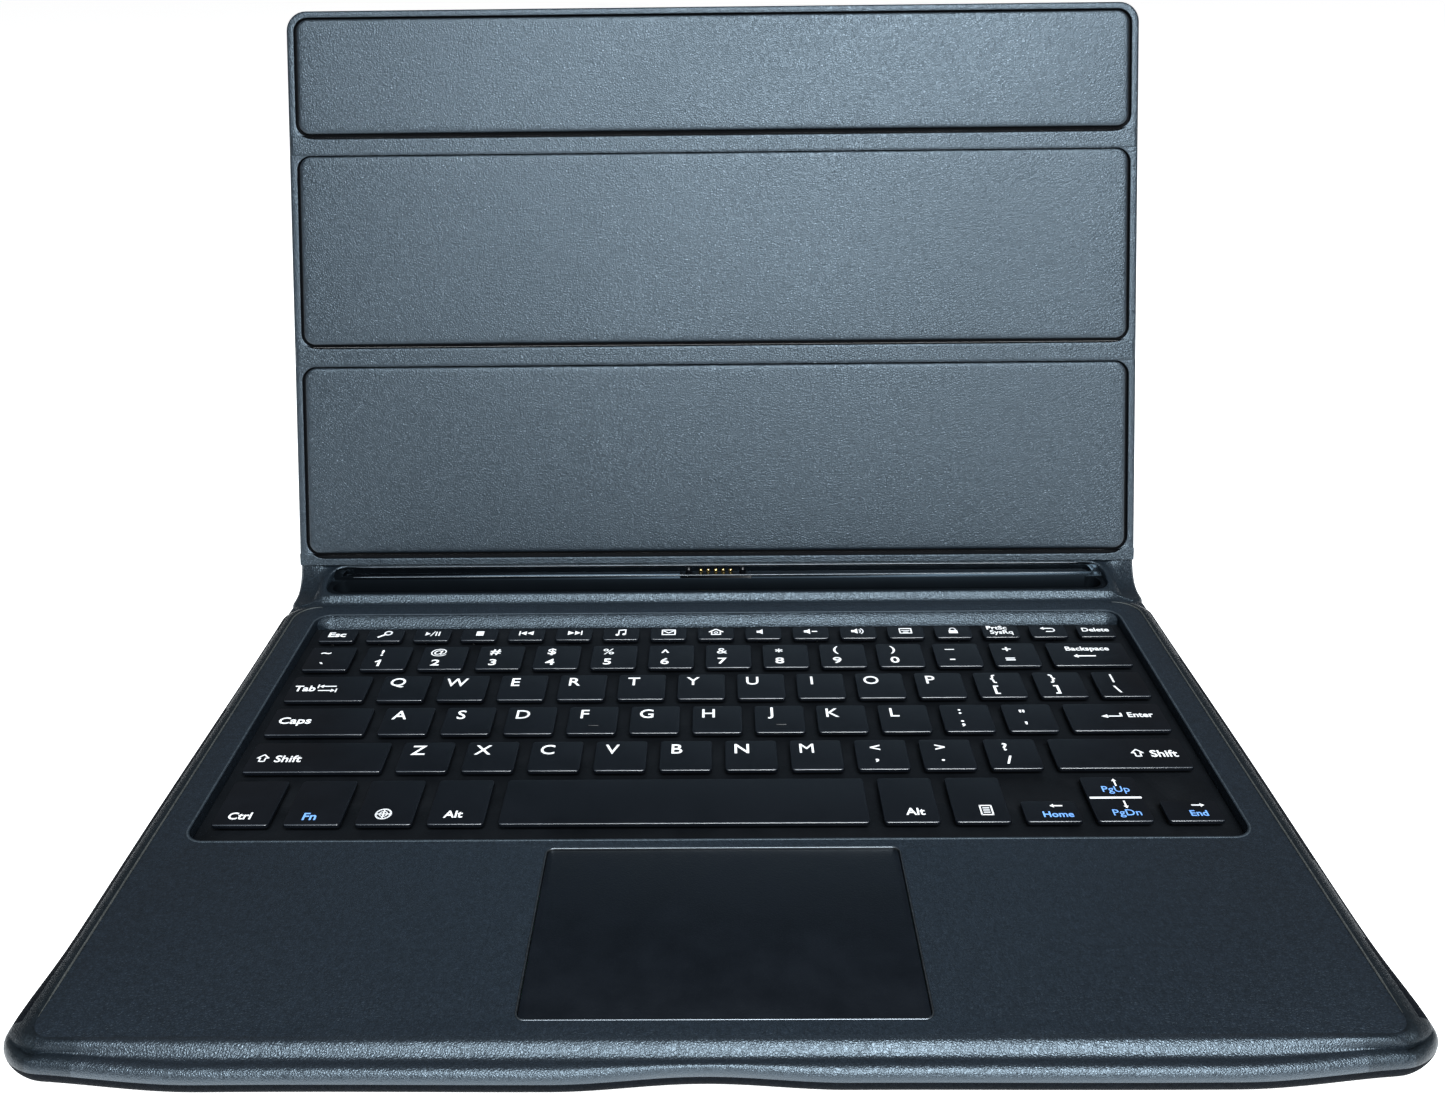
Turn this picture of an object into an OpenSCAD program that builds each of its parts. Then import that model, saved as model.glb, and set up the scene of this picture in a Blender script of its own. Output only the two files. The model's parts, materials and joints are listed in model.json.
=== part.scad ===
// Folio keyboard case for a ten inch tablet, standing open.
// Origin: on the table, midway across the base and 90.25 mm in front of its rear edge.
// +X right, +Y to the back, +Z up.

/* [Base] */
// Width of the base
case_w = 270.6; // [268:0.2:274]
// Depth of the base, from the front roll to the spine fold
base_d = 177.7; // [177:0.1:181]
// Height of the palm rest above the table
deck_z = 7.5; // [7.4:0.1:8.2]
// Depth of the key recess below the palm rest
recess_drop = 3; // [2.8:0.1:3.2]
// Thickness of the leather cloth
leather_t = 0.9; // [0.7:0.1:1]

/* [Keys] */
// Width of a letter key's cap
cap_w = 13.3; // [12.8:0.05:13.4]
// Gap between neighbouring caps in a row
cap_gap = 3.3; // [3:0.05:3.5]
// Distance from one row of keys to the next
row_pitch = 16.3; // [16.1:0.1:16.6]
// Depth of a letter key's cap
cap_d = 12.7; // [12:0.1:12.8]
// Depth of a cap in the row at the back
function_cap_d = 6.9; // [6:0.1:7.2]
// Depth of a cap in the space bar's row
front_cap_d = 17.2; // [16.5:0.1:17.4]
// Travel of a key
key_travel = 1; // [0.6:0.1:1]

/* [Touchpad] */
// Width of the touchpad
pad_w = 79.2; // [70:0.2:90]
// Depth of the touchpad
pad_d = 49; // [44:0.5:49]

/* [Cover] */
// Angle by which the cover leans back from upright
cover_lean = 16.9; // [10:0.1:20]
// Height of the lower and of the middle panel
panel_h = 59.8; // [56:0.1:62]
// Height of the top panel
top_panel_h = 35.8; // [32:0.1:40]
// Strip of bare leather between the lower and the middle panel
fold_h = 7.5; // [7:0.1:8]
// Height by which a panel's padded lining stands proud
lining_t = 1; // [0.6:0.1:1.1]
// Thickness of the cover at its margins
cover_t = 2.4; // [2.2:0.1:2.5]

/* [Dock] */
// Length of the slot that holds the tablet's lower edge
slot_l = 245; // [242:0.5:250]
// Number of contact pins
pin_count = 5; // [3:1:5]
// Distance between contact pins
pin_pitch = 2.4; // [2:0.1:2.5]
// Diameter of a contact pin
pin_dia = 1.2; // [1:0.1:1.2]

/* [Hidden] */
LETTER_ROWS = ["qwertyuiop", "asdfghjkl", "zxcvbnm"];
LETTERS = [for (line = LETTER_ROWS) each [for (c = line) c]];
KEY_GROUPS = ["key_space", "key_enter", "key_up_down", "function_keys", "number_and_symbol_keys", "modifier_keys"];
$fn = 48;
eps = 0.02;

// Colours
leather = [0.16, 0.18, 0.21];
lining_leather = [0.21, 0.24, 0.28];
gloss_black = [0.02, 0.02, 0.03];
cap_black = [0.06, 0.06, 0.07];
steel = [0.32, 0.33, 0.35];
board_green = [0.05, 0.25, 0.14];
gold = [0.83, 0.66, 0.28];
film = [0.62, 0.6, 0.5];

// Base levels
rear_y = 90.25;
front_y = rear_y - base_d;
deck_w = case_w - 9;
deck_front_y = front_y + 7.1;
deck_rear_y = rear_y - 0.75;
tray_t = 0.8;
tray_top = leather_t + tray_t;
cable_t = 0.2;
deck_bottom = tray_top + cable_t;
film_t = 0.3;
floor_z = deck_z - recess_drop;
plate_t = 0.6;
dome_top = floor_z - plate_t - 0.04;

// Key field: every row is row_w long, and the last cap of a row takes up what is left
row_w = 13 * (cap_w + cap_gap) + 22.6;
cap_top = deck_z - 0.9;
cap_bottom = floor_z + key_travel + 0.08;
row_gap = row_pitch - cap_d;
front_row_y = front_y + 71;
shift_row_y = front_row_y + front_cap_d + row_gap;
home_row_y = shift_row_y + row_pitch;
tab_row_y = home_row_y + row_pitch;
number_row_y = tab_row_y + row_pitch;
function_row_y = number_row_y + row_pitch;
function_cap_w = (row_w - 16 * cap_gap) / 17;
half_cap_d = 7.8;
function_widths = [for (i = [0:16]) function_cap_w];
number_widths = [for (i = [0:12]) cap_w];
tab_widths = concat([22.2], [for (i = [0:11]) cap_w]);
home_widths = concat([26.6], [for (i = [0:10]) cap_w]);
shift_widths = concat([35.2], [for (i = [0:9]) cap_w]);
side_cap_w = 13.65;
front_widths = [for (i = [0:8]) i == 4 ? row_w - 4 * side_cap_w - 5 * cap_w - 9 * cap_gap : i < 4 ? side_cap_w : cap_w];
recess_w = row_w + 7.2;
recess_front_y = front_row_y - 6.6;
recess_rear_y = function_row_y + function_cap_d + 7.3;
boss_dia = 4.6;

// Touchpad
pad_x = 1.5;
pad_rear_y = recess_front_y - 3.6;
pad_front_y = pad_rear_y - pad_d;
pad_y = (pad_rear_y + pad_front_y) / 2;
pad_top = deck_z - 0.4;
pad_t = 1;
pad_clearance = 0.2;
bezel_w = 0.4;
pad_corner = 1.4;
bezel_corner = pad_corner + pad_clearance + bezel_w;

// Controller board, under the touchpad
board_z = 3.6;
board_t = 0.8;

// Dock, measured from the base's rear edge
dock_w = case_w - 2.4;
dock_front_y = rear_y + 2.6;
slot_front_y = dock_front_y + 2.9;
ledge_y = slot_front_y + 8;
slot_rear_y = ledge_y + 2.4;
channel_wall = 1.1;
channel_bottom = 3;
slot_floor = 4;
lip_z = deck_z + 2;
ledge_z = deck_z + 3;
dock_top = deck_z + 5.1;
channel_l = slot_l + 3.4;
dock_rear_y = slot_rear_y + 2.9;
pin_y = ledge_y + 1.25;
post_x = 8.7;
contact_w = 23;

// Cover: height runs up the cover's inner face from this line
cover_y = rear_y + 16.05;
cover_z = deck_z + 4.56;
cover_w = case_w - 0.7;
lower_h0 = 5.5;
lower_h1 = lower_h0 + panel_h;
middle_h0 = lower_h1 + fold_h;
middle_h1 = middle_h0 + panel_h;
top_h0 = middle_h1 + fold_h - 0.35;
top_h1 = top_h0 + top_panel_h;
cover_h = top_h1 + 3;
board_margin = 0.9;
lining_w = cover_w - 7.2;
strip_z0 = -1.2;
strip_z1 = -0.2;

function sum_to(widths, count) = count == 0 ? 0 : widths[count - 1] + sum_to(widths, count - 1);
function key_x(widths, index) = -row_w / 2 + sum_to(widths, index) + index * cap_gap;
function rest_of_row(widths) = row_w / 2 - key_x(widths, len(widths));

module rounded_rect(w, d, r) {
    square([w - 2 * r, d], center = true);
    square([w, d - 2 * r], center = true);
    for (x = [-1, 1], y = [-1, 1]) translate([x * (w / 2 - r), y * (d / 2 - r)]) circle(r = r);
}

// A plate with rounded corners, centred on x, between two depths and two heights
module plate(x, w, y0, y1, z0, z1, r) {
    translate([x, (y0 + y1) / 2, z0]) linear_extrude(z1 - z0) rounded_rect(w, y1 - y0, r);
}

// A profile drawn in depth and height, run along X
module along_x(length) {
    rotate([90, 0, 90]) linear_extrude(length, center = true) children();
}

// ---------------------------------------------------------------- base

// One level of the leather wrap: the corners are rounder in front
module wrap_level(z, side_in, front_in) {
    plate(0, case_w - 2 * side_in, front_y + front_in, 0, z, z + eps, 9 - side_in);
    plate(0, case_w - 2 * side_in, 0, rear_y, z, z + eps, 6);
}

module bottom_cover() {
    underside_in = 2.6;
    notch_w = 52;
    notch_in = 1.6;
    notch_r = (pow(notch_w / 2, 2) + pow(notch_in, 2)) / (2 * notch_in);
    color(leather) difference() {
        hull() {
            wrap_level(0, 2.3, underside_in);
            wrap_level(1.4, 0.5, 0.6);
            wrap_level(3.3, 0, 0);
            wrap_level(4.7, 0.4, 0.4);
            wrap_level(deck_z - 1.6, 1.1, 1.7);
            wrap_level(deck_z - 0.9, 2.2, 3.6);
            wrap_level(deck_z - 0.3, 4.2, 6.7);
        }
        deck_footprint(0, leather_t, deck_z + 1);
        // finger notch under the front edge
        translate([-3, front_y + underside_in - notch_r + notch_in, -1]) cylinder(r = notch_r, h = 2.4, $fn = 180);
        // way through for the cable
        translate([0, rear_y, tray_top + cable_t / 2]) cube([8.6, 4, cable_t + 0.1], center = true);
    }
}

// Outline of the palm rest: large radii beside the spine, small ones in front
module deck_footprint(inset, z0, z1) {
    plate(0, deck_w - 2 * inset, deck_front_y + inset, deck_rear_y - inset, z0, z1, 7);
    plate(0, deck_w - 2 * inset, deck_front_y + inset, 0, z0, z1, 4);
}

module base_tray() {
    color(steel) {
        deck_footprint(0.2, leather_t, tray_top);
        for (x = [-45, 45], y = [pad_y - 12, pad_y + 12])
            translate([pad_x + x, y, tray_top]) cylinder(d = 4, h = board_z - tray_top);
    }
}

module palm_deck() {
    cavity_front_y = deck_front_y + 4;
    cavity_rear_y = recess_front_y - 2.6;
    hole_w = pad_w + 2 * (pad_clearance + bezel_w);
    hole_d = pad_d + 2 * (pad_clearance + bezel_w);
    color(leather) difference() {
        deck_footprint(0.1, deck_bottom, deck_z);
        plate(0, recess_w, recess_front_y, recess_rear_y, 0, deck_z + 1, 4.5);
        plate(pad_x, hole_w, pad_y - hole_d / 2, pad_y + hole_d / 2, 0, deck_z + 1, bezel_corner);
        plate(0, deck_w - 10, cavity_front_y, cavity_rear_y, 0, deck_z - 1.6, 3);
    }
}

// Calls its child at the centre of every cap: x, y, width and depth are in $key
module each_key(widths, y, d, first, last) {
    for (i = [first:last])
        let ($w = i < len(widths) ? widths[i] : rest_of_row(widths), $x = key_x(widths, i), $y = y, $d = d)
            children();
}

module every_key() {
    each_key(function_widths, function_row_y, function_cap_d, 0, 16) children();
    each_key(number_widths, number_row_y, cap_d, 0, 13) children();
    each_key(tab_widths, tab_row_y, cap_d, 0, 13) children();
    each_key(home_widths, home_row_y, cap_d, 0, 12) children();
    each_key(shift_widths, shift_row_y, cap_d, 0, 11) children();
    each_key(front_widths, front_row_y, front_cap_d, 0, 6) children();
    each_key(front_widths, front_row_y, half_cap_d, 7, 7) children();
    each_key(front_widths, front_row_y, front_cap_d, 8, 8) children();
    each_key(front_widths, front_row_y, half_cap_d, 9, 9) children();
}

module key_plate() {
    color(gloss_black) difference() {
        plate(0, recess_w - 0.2, recess_front_y + 0.1, recess_rear_y - 0.1, floor_z - plate_t, floor_z, 4);
        every_key() translate([$x + $w / 2, $y + $d / 2, 0]) cylinder(d = boss_dia + 0.6, h = deck_z);
    }
}

module rubber_domes() {
    sheet_z = deck_bottom + film_t;
    color(film) {
        plate(0, recess_w - 0.4, recess_front_y + 0.2, recess_rear_y - 0.2, sheet_z, sheet_z + film_t, 4);
        every_key() translate([$x + $w / 2, $y + $d / 2, sheet_z + film_t])
            cylinder(d1 = boss_dia, d2 = boss_dia - 1.6, h = dome_top - sheet_z - film_t);
    }
}

module membrane_sheet() {
    color(film)
        plate(0, recess_w - 0.4, recess_front_y + 0.2, recess_rear_y - 0.2, deck_bottom, deck_bottom + film_t, 4);
}

module controller_board() {
    chips = [[-28, 2, 7, 7], [-8, 4, 5, 5], [18, -3, 9, 4], [34, 6, 4, 6]];
    color(board_green) {
        plate(pad_x, 100, pad_y - 16, pad_y + 16, board_z, board_z + board_t, 2);
        for (c = chips) translate([pad_x + c[0], pad_y + c[1], board_z + board_t]) cube([c[2], c[3], 0.7]);
    }
}

// Flat cable from the controller board, under the keys and through the spine to the contacts
module ribbon_cable() {
    t = cable_t;
    route = [
        [pad_y + 9, board_z - t],
        [pad_y + 18, board_z - t],
        [pad_y + 23, tray_top],
        [rear_y + 0.4, tray_top],
        [slot_front_y - 1.2, channel_bottom - t],
        [pin_y + 1, channel_bottom - t]
    ];
    back = [for (i = [len(route) - 1:-1:0]) route[i] + [0, t - eps]];
    color(gold) along_x(8) polygon(concat(route, back));
}

module touchpad_bezel() {
    out_w = pad_w + 2 * (pad_clearance + bezel_w) - 0.04;
    out_d = pad_d + 2 * (pad_clearance + bezel_w) - 0.04;
    in_w = pad_w + 2 * pad_clearance;
    in_d = pad_d + 2 * pad_clearance;
    color(steel) difference() {
        plate(pad_x, out_w, pad_y - out_d / 2, pad_y + out_d / 2, deck_z - 1.4, deck_z + 0.05, bezel_corner);
        plate(pad_x, in_w, pad_y - in_d / 2, pad_y + in_d / 2, 0, deck_z + 1, pad_corner + pad_clearance);
    }
}

module click_switch() {
    translate([pad_x, pad_front_y + 12, board_z + board_t]) color(steel) {
        translate([-2.2, -2.2, 0]) cube([4.4, 4.4, 0.6]);
        cylinder(d = 2, h = 0.9);
    }
}

module touchpad_plate() {
    color(cap_black) plate(pad_x, pad_w, pad_front_y, pad_rear_y, pad_top - pad_t, pad_top, pad_corner);
}

// ---------------------------------------------------------------- keys

// A cap with a softened top edge, hollow beneath, with the boss that presses its dome
module cap() {
    edge = 0.25;
    wall = 0.9;
    color(cap_black) difference() {
        union() {
            plate($x + $w / 2, $w, $y, $y + $d, cap_bottom, cap_top - edge, 1.2);
            plate($x + $w / 2, $w - 2 * edge, $y + edge, $y + $d - edge, cap_top - edge, cap_top, 1);
            translate([$x + $w / 2, $y + $d / 2, dome_top + 0.04])
                cylinder(d = boss_dia - 0.8, h = cap_bottom - dome_top);
        }
        difference() {
            plate($x + $w / 2, $w - 2 * wall, $y + wall, $y + $d - wall, 0, cap_bottom + 0.3, 0.8);
            translate([$x + $w / 2, $y + $d / 2, 0]) cylinder(d = boss_dia - 0.8, h = cap_top);
        }
    }
}

module letter_key(letter) {
    row = [for (i = [0:2]) if (len(search(letter, LETTER_ROWS[i])) > 0) i][0];
    place = 1 + search(letter, LETTER_ROWS[row])[0];
    widths = [tab_widths, home_widths, shift_widths][row];
    y = [tab_row_y, home_row_y, shift_row_y][row];
    each_key(widths, y, cap_d, place, place) cap();
}

module key_space() {
    each_key(front_widths, front_row_y, front_cap_d, 4, 4) cap();
}

module key_enter() {
    each_key(home_widths, home_row_y, cap_d, 12, 12) cap();
}

module key_up_down() {
    each_key(front_widths, front_row_y, front_cap_d, 8, 8) cap();
}

module function_keys() {
    each_key(function_widths, function_row_y, function_cap_d, 0, 16) cap();
}

module number_and_symbol_keys() {
    each_key(number_widths, number_row_y, cap_d, 0, 13) cap();
    each_key(tab_widths, tab_row_y, cap_d, 11, 13) cap();
    each_key(home_widths, home_row_y, cap_d, 10, 11) cap();
    each_key(shift_widths, shift_row_y, cap_d, 8, 10) cap();
}

module modifier_keys() {
    each_key(tab_widths, tab_row_y, cap_d, 0, 0) cap();
    each_key(home_widths, home_row_y, cap_d, 0, 0) cap();
    each_key(shift_widths, shift_row_y, cap_d, 0, 0) cap();
    each_key(shift_widths, shift_row_y, cap_d, 11, 11) cap();
    each_key(front_widths, front_row_y, front_cap_d, 0, 3) cap();
    each_key(front_widths, front_row_y, front_cap_d, 5, 6) cap();
    each_key(front_widths, front_row_y, half_cap_d, 7, 7) cap();
    each_key(front_widths, front_row_y, half_cap_d, 9, 9) cap();
}

// ---------------------------------------------------------------- dock

// A round-ended slot between two depths, cut from z0 upwards
module slot_cut(y0, y1, z0, z1) {
    plate(0, slot_l, y0, y1, z0, z1, (y1 - y0) / 2 - eps);
}

module magnet_places(grow) {
    for (x = [-104, -58, 58, 104])
        translate([x, slot_rear_y - 0.4, slot_floor + 3])
            cube([22 + grow, 2 + grow, 4.5 + grow], center = true);
}

module contact_body(grow) {
    translate([-contact_w / 2 - grow, ledge_y + 0.1 - grow, channel_bottom])
        cube([contact_w + 2 * grow, slot_rear_y - ledge_y - 0.2 + 2 * grow, ledge_z - channel_bottom]);
}

module dock_channel() {
    color(gloss_black) difference() {
        intersection() {
            along_x(channel_l) polygon([
                [slot_front_y - channel_wall, channel_bottom],
                [slot_rear_y + 1.3, channel_bottom],
                [slot_rear_y + 1.3, dock_top - 0.3],
                [slot_rear_y - 0.4, dock_top - 0.3],
                [ledge_y, lip_z - 0.3],
                [slot_front_y - channel_wall, lip_z - 0.3]
            ]);
            plate(0, channel_l, slot_front_y - channel_wall, slot_rear_y + 1.3, 0, 20, 5);
        }
        slot_cut(slot_front_y, slot_rear_y, ledge_z, 20);
        slot_cut(slot_front_y, ledge_y, slot_floor, 20);
        contact_body(0.02);
        magnet_places(0.02);
    }
}

module dock_surround() {
    y0 = dock_front_y;
    y1 = dock_rear_y;
    pocket_grow = 0.1;
    color(leather) difference() {
        union() {
            // low sheet that runs out to the sides and curls up into the cover
            along_x(dock_w) polygon([
                [y0, leather_t], [y1 - 1, leather_t], [y1, leather_t + 1.4], [y1, 10],
                [y1 - 0.5, dock_top + 0.3], [y1 - 2.2, dock_top + 0.3], [y1 - 3.4, 10.3],
                [y1 - 5.7, 7.6], [y1 - 9.2, 6.3], [y1 - 13.2, 5.9], [y0, 5.7]
            ]);
            // raised lip along the slot
            along_x(channel_l + 3.6) polygon([
                [y0, leather_t], [y1 - 1, leather_t], [y1 - 1, dock_top], [y1 - 2.4, dock_top],
                [ledge_y, lip_z], [y0 + 0.8, lip_z], [y0, lip_z - 0.9]
            ]);
        }
        plate(
            0, channel_l + 2 * pocket_grow,
            slot_front_y - channel_wall - pocket_grow, slot_rear_y + 1.3 + pocket_grow,
            channel_bottom - cable_t, 20, 5
        );
        // way through for the cable
        translate([0, y0 + 1, channel_bottom - 0.3]) cube([8.6, 3, 1.3], center = true);
    }
}

module pin_places() {
    for (i = [0:pin_count - 1]) translate([(i - (pin_count - 1) / 2) * pin_pitch, pin_y, 0]) children();
}

module contact_block() {
    bore_floor = ledge_z - 5.5;
    color(gloss_black) difference() {
        contact_body(0);
        pin_places() translate([0, 0, bore_floor]) cylinder(d = pin_dia + 0.14, h = 8);
        for (x = [-post_x, post_x]) translate([x, pin_y, ledge_z - 2]) cylinder(d = 1.9, h = 4);
    }
}

module locating_posts() {
    color(gloss_black) for (x = [-post_x, post_x]) translate([x, pin_y, ledge_z - 2]) {
        cylinder(d = 1.9, h = 3.6);
        translate([0, 0, 3.6]) cylinder(d1 = 1.9, d2 = 0.9, h = 0.6);
    }
}

module dock_magnets() {
    color(steel) magnet_places(0);
}

module pogo_pins() {
    pin_top = ledge_z + 1.7;
    color(gold) pin_places() {
        translate([0, 0, ledge_z - 3]) cylinder(d = pin_dia, h = pin_top - pin_dia / 2 - ledge_z + 3);
        translate([0, 0, pin_top - pin_dia / 2]) sphere(d = pin_dia);
    }
}

// A spring under each pin, drawn as a pleated tube
module pogo_springs() {
    pleats = 4;
    spring_h = 2.5;
    step = spring_h / (2 * pleats);
    radii = [pin_dia / 2 - 0.25, pin_dia / 2 - 0.02];
    outside = [for (i = [0:2 * pleats]) [radii[i % 2], i * step]];
    inside = [for (i = [2 * pleats:-1:0]) [radii[i % 2] - 0.15, i * step]];
    color(steel) pin_places() translate([0, 0, ledge_z - 5.5])
        rotate_extrude() polygon(concat(outside, inside));
}

// ---------------------------------------------------------------- cover

// The cover's own frame: Y runs up the cover, Z stands out of its inner face
module on_cover() {
    translate([0, cover_y, cover_z]) rotate([90 - cover_lean, 0, 0]) children();
}

module board(h0, h1) {
    color(leather) on_cover() translate([0, 0, -cover_t]) linear_extrude(cover_t)
        translate([-cover_w / 2, h0]) square([cover_w, h1 - h0]);
}

module lining(h0, h1) {
    color(lining_leather) on_cover() plate(0, lining_w, h0, h1, 0, lining_t, 3.6);
}

module strip(h0, h1) {
    color(leather) on_cover() translate([-cover_w / 2, h0, strip_z0]) cube([cover_w, h1 - h0, strip_z1 - strip_z0]);
}

module lower_board() {
    board(lower_h0 - board_margin, lower_h1 + board_margin);
}

module lower_lining() {
    lining(lower_h0, lower_h1);
}

module middle_board() {
    board(middle_h0 - board_margin, middle_h1 + board_margin);
}

module middle_lining() {
    lining(middle_h0, middle_h1);
}

module top_board() {
    corner_r = 6.3;
    bottom_h = top_h0 - board_margin;
    color(leather) on_cover() translate([0, 0, -cover_t]) linear_extrude(cover_t) {
        translate([0, (bottom_h + cover_h) / 2]) rounded_rect(cover_w, cover_h - bottom_h, corner_r);
        translate([-cover_w / 2, bottom_h]) square([cover_w, (cover_h - bottom_h) / 2]);
    }
}

module top_lining() {
    lining(top_h0, top_h1);
}

module cover_fold_strip() {
    strip(1.35, lower_h0 - board_margin - 0.05);
}

module middle_fold_strip() {
    strip(lower_h1 + board_margin, middle_h0 - board_margin);
}

module top_fold_strip() {
    strip(middle_h1 + board_margin, top_h0 - board_margin);
}

// Leather between the base and the dock, one strip on top and one below
module spine_fold() {
    y0 = rear_y + 0.05;
    y1 = dock_front_y - 0.05;
    color(leather) along_x(dock_w - 8) {
        polygon([[y0, 0.05], [y1, 0.95], [y1, 1.6], [y0, 0.7]]);
        polygon([[y0, deck_z - 1.3], [y1, deck_z - 0.3], [y1, deck_z + 0.5], [y0, deck_z - 0.5]]);
    }
}

bottom_cover();
base_tray();
palm_deck();
key_plate();
rubber_domes();
membrane_sheet();
controller_board();
ribbon_cable();
touchpad_bezel();
click_switch();
touchpad_plate();
dock_channel();
dock_surround();
contact_block();
locating_posts();
dock_magnets();
pogo_pins();
pogo_springs();
lower_board();
lower_lining();
middle_board();
middle_lining();
top_board();
top_lining();
spine_fold();
cover_fold_strip();
middle_fold_strip();
top_fold_strip();
key_space();
key_enter();
key_up_down();
function_keys();
number_and_symbol_keys();
modifier_keys();
for (letter = LETTERS) letter_key(letter);
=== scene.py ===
"""Looks of the folio keyboard case: leather, dock, caps and legends, camera, floor and light.

Lengths are in mm, except for the textures, the floor and the lights, which are in metres as Blender is.
"""
import json
import math

import bmesh
import bpy
import numpy as np
from mathutils import Euler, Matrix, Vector


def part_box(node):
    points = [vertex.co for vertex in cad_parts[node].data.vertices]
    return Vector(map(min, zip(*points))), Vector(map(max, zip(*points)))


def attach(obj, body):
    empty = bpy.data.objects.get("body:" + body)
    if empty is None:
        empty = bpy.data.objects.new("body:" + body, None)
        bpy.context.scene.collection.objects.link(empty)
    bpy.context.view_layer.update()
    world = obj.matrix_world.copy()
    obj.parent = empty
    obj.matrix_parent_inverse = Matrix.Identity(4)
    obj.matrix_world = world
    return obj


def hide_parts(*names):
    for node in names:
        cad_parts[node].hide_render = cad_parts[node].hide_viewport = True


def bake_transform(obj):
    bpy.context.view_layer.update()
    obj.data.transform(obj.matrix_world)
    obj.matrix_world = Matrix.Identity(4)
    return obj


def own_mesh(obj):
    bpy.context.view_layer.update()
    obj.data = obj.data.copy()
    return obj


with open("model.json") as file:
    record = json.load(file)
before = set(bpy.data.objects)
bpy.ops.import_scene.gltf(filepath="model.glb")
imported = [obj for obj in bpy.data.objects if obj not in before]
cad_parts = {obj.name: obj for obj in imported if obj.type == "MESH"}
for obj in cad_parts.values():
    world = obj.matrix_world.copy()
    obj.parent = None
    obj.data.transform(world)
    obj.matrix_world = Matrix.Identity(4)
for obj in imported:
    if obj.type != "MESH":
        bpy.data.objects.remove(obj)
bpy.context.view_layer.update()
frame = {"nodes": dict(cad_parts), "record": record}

MM = 0.001
scene = bpy.context.scene

# ------------------------------------------------------------------ camera
cam_data = bpy.data.cameras.new("camera")
camera = bpy.data.objects.new("camera", cam_data)
scene.collection.objects.link(camera)
scene.camera = camera
camera.location = Vector((1.41, -264.53, 197.02)) * MM
camera.rotation_euler = Euler([math.radians(a) for a in (69.934, 0.656, 0.431)])
cam_data.sensor_width = 36
cam_data.lens = 31.71
cam_data.shift_x = 0.0122
cam_data.shift_y = -0.0877
cam_data.clip_start = 0.01
cam_data.clip_end = 50


# ------------------------------------------------------------------ materials
def smooth(x, a, b):
    t = np.clip((np.asarray(x, float) - a) / (b - a), 0, 1)
    return t * t * (3 - 2 * t)


class Nodes:
    """A short way to write a material's nodes."""

    def __init__(self, name):
        self.mat = bpy.data.materials.new(name)
        self.mat.use_nodes = True
        self.tree = self.mat.node_tree
        self.shader = self.tree.nodes["Principled BSDF"]
        self.place = self.add("ShaderNodeTexCoord").outputs["Object"]

    def add(self, kind, inputs=None, **settings):
        node = self.tree.nodes.new(kind)
        for key, value in settings.items():
            setattr(node, key, value)
        for key, value in (inputs or {}).items():
            if isinstance(value, bpy.types.NodeSocket):
                self.tree.links.new(value, node.inputs[key])
            else:
                node.inputs[key].default_value = value
        return node

    def noise(self, scale, detail=2.0, rough=0.5, vector=None):
        return self.add(
            "ShaderNodeTexNoise",
            {"Vector": vector or self.place, "Scale": scale, "Detail": detail, "Roughness": rough},
        ).outputs["Fac"]

    def cells(self, scale, feature="F1", vector=None):
        return self.add(
            "ShaderNodeTexVoronoi", {"Vector": vector or self.place, "Scale": scale}, feature=feature
        ).outputs["Distance"]

    def ramp(self, value, low, high, a=0.0, b=1.0):
        return self.add("ShaderNodeMapRange", {
            "Value": value, "From Min": a, "From Max": b, "To Min": low, "To Max": high,
        }).outputs["Result"]

    def math(self, operation, a, b):
        return self.add("ShaderNodeMath", {0: a, 1: b}, operation=operation).outputs[0]

    def mix(self, factor, a, b):
        node = self.add("ShaderNodeMix", data_type="RGBA")
        for socket, value in ((node.inputs[0], factor), (node.inputs[6], a), (node.inputs[7], b)):
            if isinstance(value, bpy.types.NodeSocket):
                self.tree.links.new(value, socket)
            else:
                socket.default_value = value if isinstance(value, float) else (*value, 1)
        return node.outputs[2]

    def set(self, **sockets):
        for key, value in sockets.items():
            key = key.replace("_", " ")
            if isinstance(value, bpy.types.NodeSocket):
                self.tree.links.new(value, self.shader.inputs[key])
            elif isinstance(value, tuple):
                self.shader.inputs[key].default_value = (*value, 1)
            else:
                self.shader.inputs[key].default_value = value

    def bump(self, height, distance, strength=1.0):
        node = self.add("ShaderNodeBump", {"Height": height, "Distance": distance, "Strength": strength})
        self.set(Normal=node.outputs["Normal"])


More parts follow.
